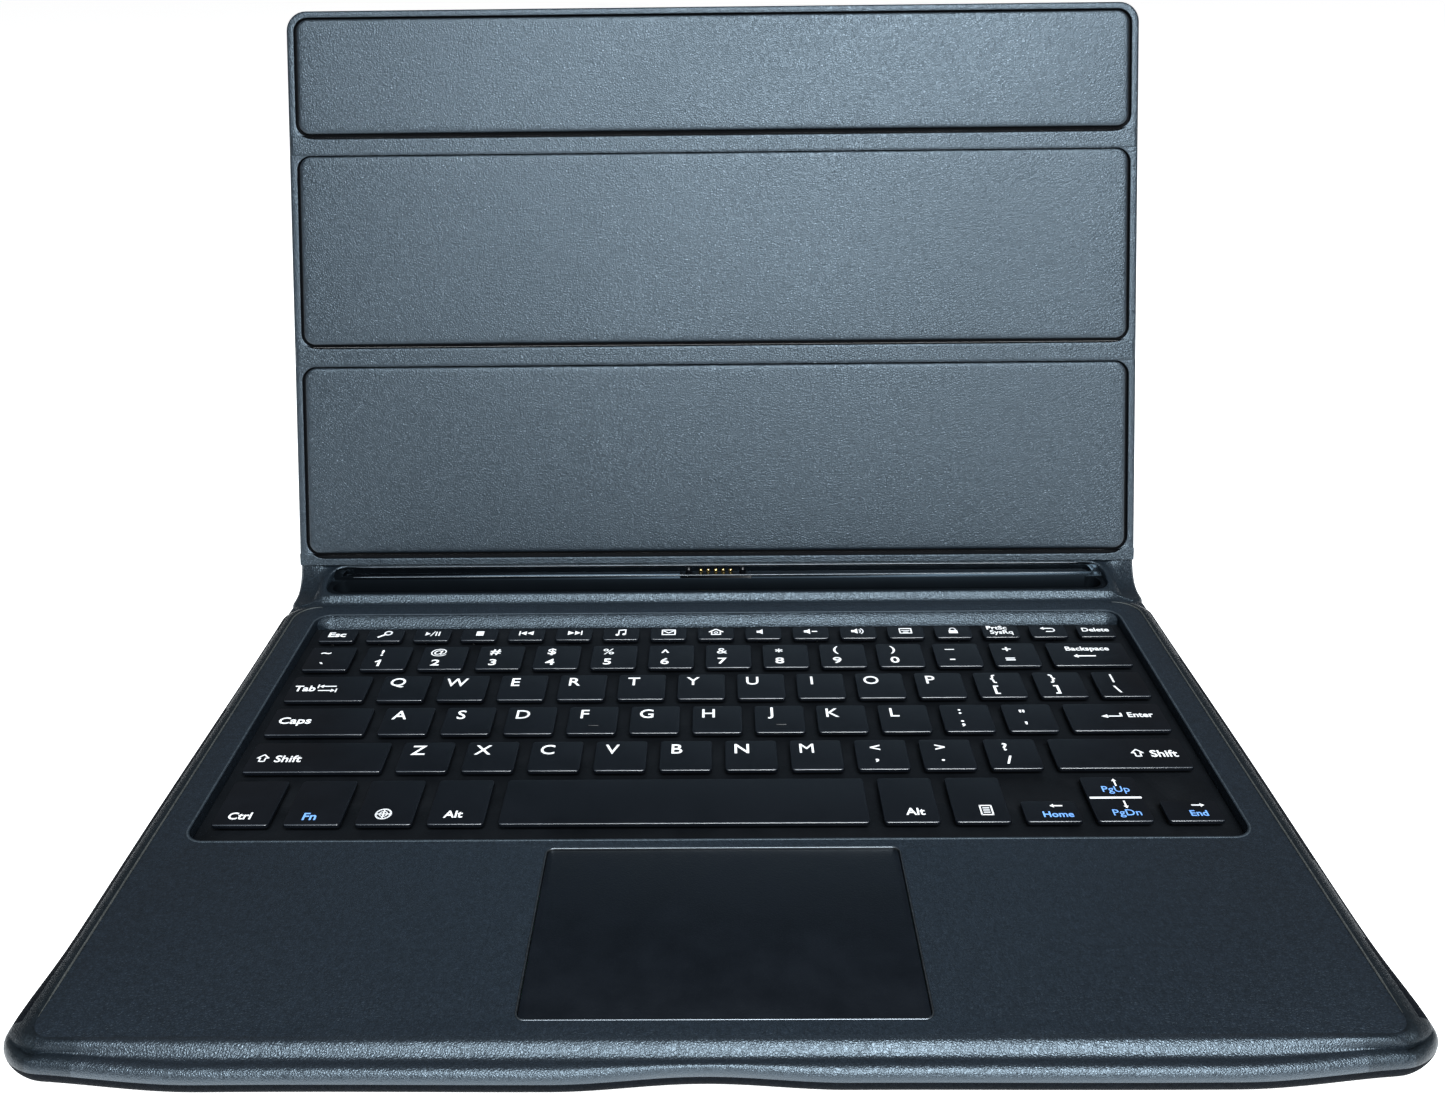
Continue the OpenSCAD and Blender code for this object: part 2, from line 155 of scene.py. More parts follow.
def leather(name, base, rough, specular, grain=1.0, cells=1450):
    """Pebbled artificial leather: cells under a millimetre, creases between them painted darker as shade, a
    faint uneven tone.
    """
    n = Nodes(name)
    warp = n.noise(600, 2)
    shift = n.add("ShaderNodeCombineXYZ", {"X": n.ramp(warp, -5e-4, 5e-4), "Y": n.ramp(warp, 3e-4, -3e-4)})
    place = n.add("ShaderNodeVectorMath", {0: n.place, 1: shift.outputs[0]}, operation="ADD").outputs[0]
    crease = n.ramp(n.cells(cells, "DISTANCE_TO_EDGE", place), 0.0, 1.0, 0.0, 0.3)
    coarse = n.noise(cells * 0.7, 3, 0.65)
    fine = n.noise(cells * 2.2, 3, 0.65)
    height = n.math("ADD", n.math("MULTIPLY", crease, 0.4), n.math("MULTIPLY", fine, 0.16))
    height = n.math("ADD", height, n.math("MULTIPLY", coarse, 0.7))
    tone = n.noise(16, 2, 0.5)
    light = tuple(min(1, c * 1.35) for c in base)
    dark = tuple(c * 0.7 for c in base)
    colour = n.mix(n.ramp(coarse, 0.0, 1.0, 0.35, 0.65), dark, light)
    # the creases between the cells are darkened: painted shade in the grain's hollows
    crease_shade = n.math("MULTIPLY", n.math("SUBTRACT", 1.0, crease), 0.5)
    colour = n.mix(crease_shade, colour, tuple(c * 0.4 for c in base))
    worn = n.math("ADD", n.math("MULTIPLY", fine, 0.8), n.math("MULTIPLY", tone, 0.2))
    n.set(Base_Color=colour, Roughness=n.ramp(worn, rough + 0.15, rough - 0.13, 0.35, 0.65))
    n.set(Specular_IOR_Level=specular, Specular_Tint=(0.69, 0.86, 1.0))
    n.bump(height, 0.00013 * grain, 1.0)
    return n.mat


def plastic(name, base, rough, texture=7000, depth=0.00002, specular=0.5, glow=0.0):
    """Moulded plastic with a fine spark-eroded texture and a slightly uneven polish."""
    n = Nodes(name)
    fine = n.noise(texture, 2, 0.6)
    wear = n.noise(90, 3, 0.6)
    dark = tuple(c * 0.8 for c in base)
    light = tuple(c * 1.2 for c in base)
    n.set(
        Base_Color=n.mix(n.ramp(wear, 0.0, 1.0, 0.3, 0.7), dark, light),
        Roughness=n.ramp(wear, rough - 0.05, rough + 0.07, 0.3, 0.7),
        Specular_IOR_Level=specular,
        Emission_Color=base,
        Emission_Strength=glow,
    )
    n.bump(fine, depth, 0.6)
    return n.mat


def metal(name, base, rough, stretch=(40, 1500, 1500)):
    n = Nodes(name)
    scaled = n.add("ShaderNodeVectorMath", {0: n.place, 1: stretch}, operation="MULTIPLY").outputs[0]
    brush = n.noise(1.0, 3, 0.6, scaled)
    n.set(
        Base_Color=n.mix(brush, tuple(c * 0.85 for c in base), tuple(min(1, c * 1.1) for c in base)),
        Roughness=n.ramp(brush, rough - 0.06, rough + 0.08, 0.3, 0.7),
        Metallic=1.0,
    )
    n.bump(brush, 0.00001, 0.4)
    return n.mat


MATERIALS = {
    "outer_leather": leather("outer_leather", (0.008, 0.012, 0.018), 0.37, 0.8),
    "inner_leather": leather("inner_leather", (0.007, 0.011, 0.016), 0.37, 0.8),
    "recess_black": plastic("recess_black", (0.002, 0.003, 0.0045), 0.6, 1500, 0.00012, specular=0.2),
    "key_black": plastic("key_black", (0.002, 0.003, 0.005), 0.33, 7000, 0.000008, specular=0.35),
    # the print on the caps glows a little: painted light, so that the legends read bright
    "legend_white": plastic("legend_white", (0.86, 0.88, 0.9), 0.5, glow=0.2),
    "legend_blue": plastic("legend_blue", (0.16, 0.36, 0.8), 0.5, glow=0.3),
    "touchpad_black": plastic("touchpad_black", (0.0015, 0.003, 0.0055), 0.42, 2600, 0.00006, specular=0.3),
    "dock_gloss": plastic("dock_gloss", (0.0015, 0.002, 0.003), 0.3, 1500, 0.000004, specular=0.3),
    "gold_plate": metal("gold_plate", (0.83, 0.62, 0.25), 0.18),
    "steel": metal("steel", (0.45, 0.46, 0.48), 0.32),
    "circuit_board": plastic("circuit_board", (0.02, 0.16, 0.07), 0.4),
    "film": plastic("film", (0.42, 0.38, 0.26), 0.35),
    "silicone": plastic("silicone", (0.4, 0.4, 0.38), 0.6),
}
PALM = MATERIALS["outer_leather"]
# a lighter glossy finish for thin beads along the dock's edges: painted highlights
RIM_HIGHLIGHT = plastic("dock_rim", (0.10, 0.12, 0.14), 0.25, specular=0.8)
# near-black for the grooves round the linings: painted shade, where the lamps do not reach
GROOVE_SHADE = plastic("crease_black", (0.0015, 0.002, 0.003), 0.7, specular=0.1)
# a much lighter leather for the beads along the side ridges: a painted highlight
SEAM_HIGHLIGHT = leather("seam_leather", (0.055, 0.058, 0.055), 0.5, 0.5, 0.5)
ROLL = leather("roll_leather", (0.009, 0.0125, 0.018), 0.36, 1.0, 0.7, 2000)
# a darker, duller copy of the roll leather towards both ends: painted shade
ROLL_END_SHADE = leather("roll_end_leather", (0.007, 0.0105, 0.015), 0.39, 0.62, 0.65, 2000)
# a darker, duller copy of the leather for the front corners: painted shade
CORNER_SHADE = leather("corner_leather", (0.006, 0.0085, 0.011), 0.42, 0.42, 0.5, 2000)
# a near-black, dull copy of the leather for the wrap's lower faces and outer sides: painted shade
UNDERSIDE_SHADE = leather("underside_leather", (0.003, 0.004, 0.006), 0.8, 0.06, 0.12)
# a lighter, shinier finish for the caps' front top edges: a painted highlight
CAP_EDGE_HIGHLIGHT = plastic("cap_edge", (0.03, 0.036, 0.045), 0.24, specular=1.0)
WELT = leather("welt_leather", (0.035, 0.045, 0.055), 0.45, 0.6, 0.5)
BEZEL = metal("bezel_metal", (0.16, 0.18, 0.20), 0.36)


def dock_finish():
    """Glossy at the ledge and along the back, dull and dark down in the slot."""
    mat = plastic("dock_gloss_and_slot", (0.0012, 0.0016, 0.0022), 0.24, 1500, 0.000004)
    tree = mat.node_tree
    place = tree.nodes.new("ShaderNodeTexCoord").outputs["Object"]
    split = tree.nodes.new("ShaderNodeSeparateXYZ")
    tree.links.new(place, split.inputs[0])
    step = tree.nodes.new("ShaderNodeMapRange")
    slot_end, ledge_start = 103.6 * MM, 104.1 * MM
    dull, glossy = 0.5, 0.16
    limits = {"From Min": slot_end, "From Max": ledge_start, "To Min": dull, "To Max": glossy}
    for key, value in limits.items():
        step.inputs[key].default_value = value
    tree.links.new(split.outputs["Y"], step.inputs["Value"])
    tree.links.new(step.outputs["Result"], tree.nodes["Principled BSDF"].inputs["Roughness"])
    tree.nodes["Principled BSDF"].inputs["Specular IOR Level"].default_value = 0.2
    tree.nodes["Principled BSDF"].inputs["Specular Tint"].default_value = (0.55, 0.78, 1.0, 1.0)
    return mat


DOCK_BLACK = dock_finish()
for part in frame["record"]["subparts"]:
    node = frame["nodes"][part["node"]]
    finish = {"palm_deck": PALM, "touchpad_bezel": BEZEL}.get(part["node"], MATERIALS[part["material_slot"]])
    for holder in node.material_slots:
        holder.material = finish


# ------------------------------------------------------------------ mesh helpers
def make_object(name, verts, faces, slot, shade=40):
    """A mesh object from vertices in mm, with its faces outwards and its edges under shade degrees smooth."""
    mesh = bpy.data.meshes.new(name)
    mesh.from_pydata([Vector(v) * MM for v in verts], [], faces)
    bm = bmesh.new()
    bm.from_mesh(mesh)
    bmesh.ops.recalc_face_normals(bm, faces=bm.faces)
    bm.to_mesh(mesh)
    bm.free()
    mesh.materials.append(MATERIALS[slot])
    mesh.shade_smooth()
    mesh.set_sharp_from_angle(angle=math.radians(shade))
    obj = bpy.data.objects.new(name, mesh)
    scene.collection.objects.link(obj)
    return obj


def loft(loops, ends=True):
    """Vertices and faces of a skin through closed loops of equal length, filled at both ends."""
    count = len(loops[0])
    verts = [p for loop in loops for p in loop]
    faces = []
    for k in range(len(loops) - 1):
        for i in range(count):
            j = (i + 1) % count
            faces.append((k * count + i, k * count + j, (k + 1) * count + j, (k + 1) * count + i))
    if ends:
        faces.append(tuple(range(count))[::-1])
        faces.append(tuple(range((len(loops) - 1) * count, len(loops) * count)))
    return verts, faces


def add_to(target, piece):
    """Adds one skin's vertices and faces to a growing pair of lists."""
    start = len(target[0])
    target[0].extend(piece[0])
    target[1].extend(tuple(i + start for i in face) for face in piece[1])


def ring(x0, x1, y0, y1, radii, corner=6, sides=(1, 1, 1, 1)):
    """A rounded rectangle, anticlockwise from the front left corner, as its radii and sides run too."""
    if not hasattr(radii, "__len__"):
        radii = (radii,) * 4
    centres = [(x0, y0, 1, 1), (x1, y0, -1, 1), (x1, y1, -1, -1), (x0, y1, 1, -1)]
    points = []
    for k, (x, y, sx, sy) in enumerate(centres):
        r = radii[k]
        start = math.pi + k * math.pi / 2
        for i in range(corner + 1):
            a = start + i * math.pi / 2 / corner
            points.append((x + sx * r + r * math.cos(a), y + sy * r + r * math.sin(a)))
        nx, ny, nsx, nsy = centres[(k + 1) % 4]
        nr = radii[(k + 1) % 4]
        last = points[-1]
        following = (nx + nsx * nr + nr * math.cos(a), ny + nsy * nr + nr * math.sin(a))
        for i in range(1, sides[k]):
            t = i / sides[k]
            points.append((last[0] + (following[0] - last[0]) * t, last[1] + (following[1] - last[1]) * t))
    return points


def paint(obj, material, where):
    """Gives the faces whose centre, in mm, passes the test a second material."""
    obj.data.materials.append(material)
    index = len(obj.data.materials) - 1
    for face in obj.data.polygons:
        if where(*(face.center / MM)):
            face.material_index = index


def solids(node):
    """The box in mm of each solid in a CAD node, from the back row to the front and from left to right."""
    bm = bmesh.new()
    bm.from_mesh(frame["nodes"][node].data)
    bmesh.ops.remove_doubles(bm, verts=bm.verts, dist=1e-6)
    left = set(bm.verts)
    boxes = []
    while left:
        stack = [left.pop()]
        seen = list(stack)
        while stack:
            for edge in stack.pop().link_edges:
                for v in edge.verts:
                    if v in left:
                        left.remove(v)
                        stack.append(v)
                        seen.append(v)
        co = np.array([v.co for v in seen]) / MM
        boxes.append((co.min(0), co.max(0)))
    bm.free()
    return sorted(boxes, key=lambda b: (-round(b[0][1]), b[0][0]))


def soften(node, width, segments=3, angle=35):
    """Rounds the sharp edges of a CAD node that stays in view."""
    obj = frame["nodes"][node]
    obj.data.shade_smooth()
    weld = obj.modifiers.new("weld", "WELD")
    weld.merge_threshold = 1e-6
    bevel = obj.modifiers.new("bevel", "BEVEL")
    bevel.width = width * MM
    bevel.segments = segments
    bevel.limit_method = "ANGLE"
    bevel.angle_limit = math.radians(angle)
    bevel.harden_normals = True
    bevel.use_clamp_overlap = True


def ease_x(half, count=90, round_end=1.2):
    """Places along X, packed closer towards both ends."""
    inner = np.linspace(-half + round_end * 3, half - round_end * 3, count)
    tail = half - round_end * 3 * np.cos(np.linspace(0, math.pi / 2, 8))
    return [-x for x in tail[::-1]] + list(inner[1:-1]) + list(tail)


def box_mm(node):
    low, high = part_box(node)
    return low / MM, high / MM


# ------------------------------------------------------------------ base
base_low, base_high = box_mm("bottom_cover")
HALF_W, FRONT_Y, REAR_Y = base_high.x, base_low.y, base_high.y
DECK_Z = box_mm("palm_deck")[1].z

# One row per loop of the wrap, from its inner floor over the top edge and round to the underside:
# side inset and height, front inset and height, rear inset and height, front corner's radius, notch share
WRAP = [
    (4.45, 0.9, 7.15, 0.9, 0.65, 0.9, 4.6, 0),
    (4.45, 6.9, 7.15, 7.3, 0.65, 6.9, 4.6, 0),
    (5.0, 7.52, 7.6, 7.52, 1.0, 7.52, 4.4, 0),
    (4.75, 7.6, 7.3, 7.6, 0.9, 7.55, 4.6, 0),
    (4.3, 7.66, 6.9, 7.68, 0.75, 7.55, 4.9, 0),
    (3.8, 7.6, 6.4, 7.68, 0.6, 7.5, 5.2, 0),
    (3.2, 7.45, 5.9, 7.5, 0.45, 7.4, 5.7, 0),
    (2.6, 7.2, 5.3, 7.1, 0.3, 7.25, 6.2, 0),
    (2.05, 6.9, 4.75, 6.65, 0.18, 7.1, 6.7, 0),
    (1.45, 6.5, 4.2, 6.2, 0.1, 6.95, 7.1, 0),
    (1.15, 6.2, 3.6, 5.95, 0.06, 6.8, 7.5, 0.05),
    (0.88, 5.8, 3, 5.95, 0.03, 6.5, 7.8, 0.1),
    (0.62, 5.4, 2.4, 6.1, 0, 6.1, 8.1, 0.15),
    (0.42, 5, 1.8, 6.15, 0, 5.5, 8.4, 0.25),
    (0.3, 4.8, 1.3, 6.05, 0, 5.2, 8.6, 0.4),
    (0.2, 4.5, 0.85, 5.8, 0, 4.8, 8.8, 0.55),
    (0.1, 4.2, 0.45, 5.4, 0, 4.4, 8.9, 0.7),
    (0.04, 3.9, 0.15, 4.9, 0, 4, 9, 0.8),
    (0, 3.5, 0, 4.3, 0, 3.5, 9, 0.9),
    (0, 3.1, 0, 3.7, 0, 3.1, 9, 1),
    (0.05, 2.6, 0, 3.1, 0, 2.6, 9, 1),
    (0.15, 2.1, 0.1, 2.5, 0.02, 2.1, 9, 1),
    (0.3, 1.6, 0.3, 1.9, 0.06, 1.6, 8.9, 1),
    (0.55, 1.15, 0.6, 1.3, 0.15, 1.15, 8.7, 1),
    (0.9, 0.75, 1.1, 0.8, 0.35, 0.75, 8.4, 1),
    (1.35, 0.35, 1.7, 0.4, 0.6, 0.35, 8, 1),
    (2.1, 0.08, 2.5, 0.1, 1, 0.08, 7.4, 1),
    (3.2, 0, 3.6, 0, 1.8, 0, 6.5, 1),
]
NOTCH_X, NOTCH_HALF, NOTCH_IN = -3.0, 28.0, 1.6
PINCH_IN, PINCH_W, PINCH_DEEP = 7.0, 1.6, 0.9
CORNER_BULGE, ROLL_BACK = 1.2, 3.0


def wrap_loop(row):
    side, side_z, front, front_z, rear, rear_z, r, notch = row
    x1 = HALF_W - side
    rear_r = 6 + side / 4
    points = ring(-x1, x1, FRONT_Y + front, REAR_Y - rear, (r, r, rear_r, rear_r), 12, (150, 60, 60, 60))
    loop = []
    for x, y in points:
        to_front = 1 - float(smooth(y, FRONT_Y + front + 0.2, FRONT_Y + front + r + 1.5))
        to_rear = float(smooth(y, REAR_Y - rear - 1.2, REAR_Y - rear))
        z = side_z + (front_z - side_z) * to_front + (rear_z - side_z) * to_rear
        # the double roll is pinched in beside each front corner
        beside = HALF_W - abs(x) - PINCH_IN
        crest = float(smooth(front, 0.5, 4.0)) * (1 - float(smooth(front, 6.2, 7.0)))
        z -= PINCH_DEEP * math.exp(-((beside / PINCH_W) ** 2)) * to_front * crest * float(smooth(z, 2.5, 5.0))
        # the corner bulges outwards a little
        corner = math.exp(-(((HALF_W - abs(x)) / 9) ** 2) - ((y - FRONT_Y - 13) / 13) ** 2)
        outer_rows = float(smooth(z, 0.3, 3.0)) * (1 - float(smooth(side, 1.0, 4.0)))
        x += math.copysign(CORNER_BULGE * corner * outer_rows, x)
        # and the roll draws back towards it
        near_corner = float(smooth(abs(x), 96, 134)) * (1 - float(smooth(y, FRONT_Y + 2, FRONT_Y + 16)))
        y += ROLL_BACK * near_corner * (1 - float(smooth(front, 2.0, 7.0)))
        dip = abs(x - NOTCH_X) / NOTCH_HALF
        if dip < 1 and to_front > 0:
            y += notch * NOTCH_IN * 0.5 * (1 + math.cos(math.pi * dip)) * to_front
        # a hand-made edge is never quite straight
        wander = 0.2 * float(smooth(x, -60, 90)) + 0.12 * math.sin(x / 17)
        y += to_front * wander * (1 - float(smooth(front, 1.5, 6)))
        x += (1 - to_front) * (1 - to_rear) * 0.15 * math.sin(y / 21 + math.copysign(1, x))
        loop.append((x, y, z))
    return loop


wrap = make_object("base_wrap", *loft([wrap_loop(row) for row in WRAP]), "outer_leather", 60)
wrap.data.materials[0] = ROLL
# the roll is painted darker towards both ends: painted shade
paint(wrap, ROLL_END_SHADE, lambda x, y, z: abs(x) > HALF_W - 15)
# beyond the pinch the front corners are painted darker: painted shade
paint(wrap, CORNER_SHADE, lambda x, y, z: abs(x) > HALF_W - PINCH_IN)
# the wrap's lower faces and outer sides are painted near-black: painted shade
paint(wrap, UNDERSIDE_SHADE, lambda x, y, z: z < 3.5 or (abs(x) > HALF_W - 2.4 and y > FRONT_Y + 12))
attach(wrap, "base")
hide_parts("bottom_cover")


BEAD_SIDES = 10


def bead(name, path, width, height, material, slot, body, closed=False):
    """A low half-round bead along a path of (x, y, z) in mm, sunk a little into what it lies on."""
    line = [np.array(p, float) for p in path]
    count = len(line)
    up = np.array([0.0, 0.0, height])
    loops = []
    for i, p in enumerate(line):
        before = line[i - 1] if closed else line[max(0, i - 1)]
        after = line[(i + 1) % count] if closed else line[min(count - 1, i + 1)]
        way = (after - before)[:2]
        across = np.array([-way[1], way[0], 0.0]) / max(1e-9, np.linalg.norm(way)) * width / 2
        taper = 1.0 if closed else min(1.0, 0.25 + min(i, count - 1 - i) / 4)
        turn = np.linspace(0, 2 * math.pi, BEAD_SIDES, endpoint=False)
        loops.append([tuple(p + (across * math.cos(a) + up * math.sin(a)) * taper) for a in turn])
    if closed:
        verts, faces = loft(loops + [loops[0]], ends=False)
        total = count * BEAD_SIDES
        piece = make_object(name, verts[:total], [tuple(v % total for v in face) for face in faces], slot, 80)
    else:
        piece = make_object(name, *loft(loops), slot, 80)
    piece.data.materials[0] = material
    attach(piece, body)
    return piece


# the leather stands up in a fine lighter edge round the keys and along both sides
plate_low, plate_high = box_mm("key_plate")
WELT_OUT, WELT_R = 0.55, 4.9
welt = ring(
    plate_low.x - WELT_OUT, plate_high.x + WELT_OUT, plate_low.y - WELT_OUT, plate_high.y + WELT_OUT, WELT_R,
    10, (120, 60, 120, 60),
)
welt_path = [(x, y, DECK_Z - 0.02) for x, y in welt]
bead("recess_welt", welt_path, 0.5, 0.14, WELT, "inner_leather", "base", closed=True)
# along both sides a thin bead runs on the ridge, in a much lighter leather: a painted highlight along the
# ridge
SEAM_IN, SEAM_R, SEAM_Z = 5.05, 7.15, 7.56
for side in (-1, 1):
    centre = (HALF_W - SEAM_IN - SEAM_R, REAR_Y - SEAM_R - 1.05)
    path = [(side * (HALF_W - SEAM_IN), y, SEAM_Z) for y in np.linspace(-75, centre[1], 60)]
    path += [
        (side * (centre[0] + SEAM_R * math.cos(a)), centre[1] + SEAM_R * math.sin(a), SEAM_Z - 0.02)
        for a in np.linspace(0.1, math.pi / 2, 9)
    ]
    bead(f"side_seam_highlight_{'left' if side < 0 else 'right'}", path, 0.5, 0.22, SEAM_HIGHLIGHT, "outer_leather", "base")

# the leather dips into the recess behind the back row of keys
slope_y0, slope_y1 = plate_high.y - 3.6, plate_high.y - 0.1
SLOPE_TOP, SLOPE_LOW, SLOPE_UNDER = 7.36, 4.64, 4.58
slope_loops = []
for x in ease_x(plate_high.x - 0.4, 120, 1.6):
    low = SLOPE_LOW + 1.6 * float(smooth(abs(x), plate_high.x - 4.5, plate_high.x - 0.8))
    section = []
    for t in np.linspace(0, 1, 12):
        rise = 0.6 * t + 0.4 * float(smooth(t, 0, 1))
        section.append((slope_y0 + (slope_y1 - slope_y0) * t, low + (SLOPE_TOP - low) * rise))
    section += [(slope_y1, SLOPE_UNDER), (slope_y0, SLOPE_UNDER)]
    slope_loops.append([(x, y, z) for y, z in section])
slope = make_object("recess_slope", *loft(slope_loops), "inner_leather", 60)
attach(slope, "base")

soften("palm_deck", 0.45, 4)
soften("key_plate", 0.1, 2)
soften("touchpad_plate", 0.15, 3)
soften("touchpad_bezel", 0.12, 2)


# ------------------------------------------------------------------ dock
dock_low, dock_high = box_mm("dock_surround")
channel_low, channel_high = box_mm("dock_channel")
DOCK_FRONT, DOCK_REAR, DOCK_HALF = dock_low.y, dock_high.y, dock_high.x + 0.85
WINDOW_X = channel_high.x + 0.1
WINDOW_FRONT, WINDOW_REAR = channel_low.y - 0.08, channel_high.y + 0.08


def sheet_z(y):
    """Height of the low leather sheet at either end of the dock, which curls up into the cover."""
    t = np.clip((y - DOCK_FRONT) / (107.3 - DOCK_FRONT), 0, 1.06)
    return 5.8 + 7.1 * t**4.4


# x half width, front y, rear y, radius, front height, rear height, share of the end sheet
DOCK = [
    (WINDOW_X, WINDOW_FRONT, WINDOW_REAR, 5, 3.1, 3.1, 0),
    (WINDOW_X, WINDOW_FRONT, WINDOW_REAR, 5, 8.9, 12.35, 0),
    (WINDOW_X + 0.15, WINDOW_FRONT - 0.12, WINDOW_REAR + 0.1, 5.1, 9.3, 12.75, 0),
    (WINDOW_X + 0.5, WINDOW_FRONT - 0.5, WINDOW_REAR + 0.35, 5.4, 9.5, 12.9, 0.05),
    (WINDOW_X + 1.1, WINDOW_FRONT - 0.95, WINDOW_REAR + 0.7, 5.6, 9.4, 12.9, 0.35),
    (WINDOW_X + 1.9, WINDOW_FRONT - 1.35, WINDOW_REAR + 1.0, 5.4, 9.1, 12.85, 0.75),
    (WINDOW_X + 3.0, DOCK_FRONT + 0.12, DOCK_REAR - 0.35, 5, 8.6, 12.7, 0.95),
    (WINDOW_X + 4.4, DOCK_FRONT + 0.02, DOCK_REAR - 0.15, 3, 7.8, 12.3, 1),
    (DOCK_HALF - 1.1, DOCK_FRONT, DOCK_REAR - 0.05, 1.6, 6.8, 11.5, 1),
]
# and from there down to the underside
DOCK_SIDE = [
    (DOCK_HALF - 0.45, DOCK_FRONT, DOCK_REAR, 1.0, -0.25),
    (DOCK_HALF - 0.1, DOCK_FRONT, DOCK_REAR, 1.0, -0.9),
    (DOCK_HALF, DOCK_FRONT, DOCK_REAR, 1.0, -1.8),
]


def dock_ring(x1, y0, y1, front_r, rear_r):
    return ring(-x1, x1, y0, y1, (front_r, front_r, rear_r, rear_r), 9, (70, 26, 70, 26))


def dock_loop(row):
    x1, y0, y1, r, front_z, rear_z, share = row
    loop = []
    for x, y in dock_ring(x1, y0, y1, max(r, 3), r):
        t = float(np.clip((y - y0) / (y1 - y0), 0, 1))
        middle = front_z + (rear_z - front_z) * t**1.5
        at_end = float(smooth(abs(x), 126.0, 129.5)) * share
        loop.append((x, y, middle + (float(sheet_z(y)) - middle) * at_end))
    return loop


FOOT_R = 3.2
dock_loops = [dock_loop(row) for row in DOCK]
above = dock_loops[-1]
for x1, y0, y1, r, drop in DOCK_SIDE:
    outline = dock_ring(x1, y0, y1, FOOT_R, r)
    dock_loops.append([(x, y, max(3.4, top[2] + drop)) for (x, y), top in zip(outline, above)])
for x1, y0, y1, z in (
    (DOCK_HALF, DOCK_FRONT, DOCK_REAR, 3.2),
    (DOCK_HALF - 0.05, DOCK_FRONT, DOCK_REAR - 0.1, 2.4),
    (DOCK_HALF - 0.35, DOCK_FRONT + 0.1, DOCK_REAR - 0.4, 1.6),
    (DOCK_HALF - 0.9, DOCK_FRONT + 0.3, DOCK_REAR - 1.0, 1.1),
    (DOCK_HALF - 1.8, DOCK_FRONT + 0.8, DOCK_REAR - 2.0, 0.92),
):
    dock_loops.append([(x, y, z) for x, y in dock_ring(x1, y0, y1, FOOT_R, 1)])
dock_skin = make_object("dock_skin", *loft(dock_loops), "inner_leather", 60)
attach(dock_skin, "dock")
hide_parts("dock_surround")

soften("dock_channel", 0.18, 3)
for holder in frame["nodes"]["dock_channel"].material_slots:
    holder.material = DOCK_BLACK
soften("contact_block", 0.12, 2)
# thin lighter beads along the ledge and the channel's back edge: painted highlights on the edges
for name, y, z in (("ledge_rim", 103.72, 10.46), ("channel_rim", 107.28, 12.3)):
    line = [(x, y, z) for x in np.linspace(-117, 117, 120)]
    bead(f"dock_{name}", line, 0.34, 0.16, RIM_HIGHLIGHT, "dock_gloss", "dock")
soften("locating_posts", 0.12, 3)


def strip(name, section, xs, slot, shade=60):
    """A closed section, given at each x as a list of (y, z), run along X."""
    loops = [[(x, y, z) for y, z in section(x)] for x in xs]
    return make_object(name, *loft(loops), slot, shade)


def thick(top, t):
    """A closed section from its upper line: the same line again, t lower, with rounded ends."""
    line = np.array(top, float)
    step = np.gradient(line, axis=0)
    normal = np.stack([step[:, 1], -step[:, 0]], 1)
    normal /= np.linalg.norm(normal, axis=1)[:, None]
    ease = np.ones(len(line))
    ease[0] = ease[-1] = 0.4
    under = line + normal * t * ease[:, None]
    return [tuple(p) for p in line] + [tuple(p) for p in under[::-1]]


def spine_top(x):
    """The upper leather from the base's back edge, up to the front lip of the dock."""
    end = float(smooth(abs(x), 124.5, 129.0))
    corner = min(1.0, max(0.0, (abs(x) - HALF_W + 6.3) / 6.0))
    start = REAR_Y - 6.3 + 6.0 * math.sqrt(1 - corner * corner) - 0.75
    first = min(89.3, start)
    middle = [
        (89.3, 7.35), (90.0, 7.3), (90.7, 7.2), (91.4, 7.3), (92.0, 7.65), (92.5, 8.2),
        (92.9, 8.75), (93.25, 9.2),
    ]
    outer = [
        (first, 6.3), (min(90.0, first + 1.4), 6.25), (90.7, 6.2), (91.4, 6.1), (92.0, 6.0), (92.5, 5.95),
        (92.9, 5.88), (93.25, 5.88),
    ]
    line = [(a[0] + (b[0] - a[0]) * end, a[1] + (b[1] - a[1]) * end) for a, b in zip(middle, outer)]
    return thick(line, 0.7)


spine_upper = strip("spine_leather_upper", spine_top, ease_x(DOCK_HALF - 1.6), "inner_leather")
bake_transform(spine_upper)
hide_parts("spine_fold")
UNDER_LINE = [(88.8, 0.75), (89.8, 0.75), (90.6, 0.85), (91.5, 1.05), (92.4, 1.3), (93.3, 1.5), (94.2, 1.55)]
spine_lower = strip(
    "spine_leather_lower", lambda x: thick(UNDER_LINE, 0.65), ease_x(DOCK_HALF - 3.2), "outer_leather",
)
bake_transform(spine_lower)


# ------------------------------------------------------------------ cover
LEAN = math.radians(16.9)
COVER_Y, COVER_Z = 106.3, 12.06
COVER_T = 2.4


def on_cover(x, h, z):
    """A place h up the cover and z out of its inner face, in the row frame."""
    y = COVER_Y + h * math.sin(LEAN) - z * math.cos(LEAN)
    return (x, y, COVER_Z + h * math.cos(LEAN) + z * math.sin(LEAN))


def height_on_cover(node):
    """Lowest and highest place of a CAD node up the cover."""
    co = np.array([v.co for v in frame["nodes"][node].data.vertices]) / MM
    h = (co[:, 1] - COVER_Y) * math.sin(LEAN) + (co[:, 2] - COVER_Z) * math.cos(LEAN)
    return float(h.min()), float(h.max())


def from_cover(y, z):
    """How far up the cover and how far out of its inner face a place is."""
    dy, dz = y - COVER_Y, z - COVER_Z
    return dy * math.sin(LEAN) + dz * math.cos(LEAN), dz * math.sin(LEAN) - dy * math.cos(LEAN)


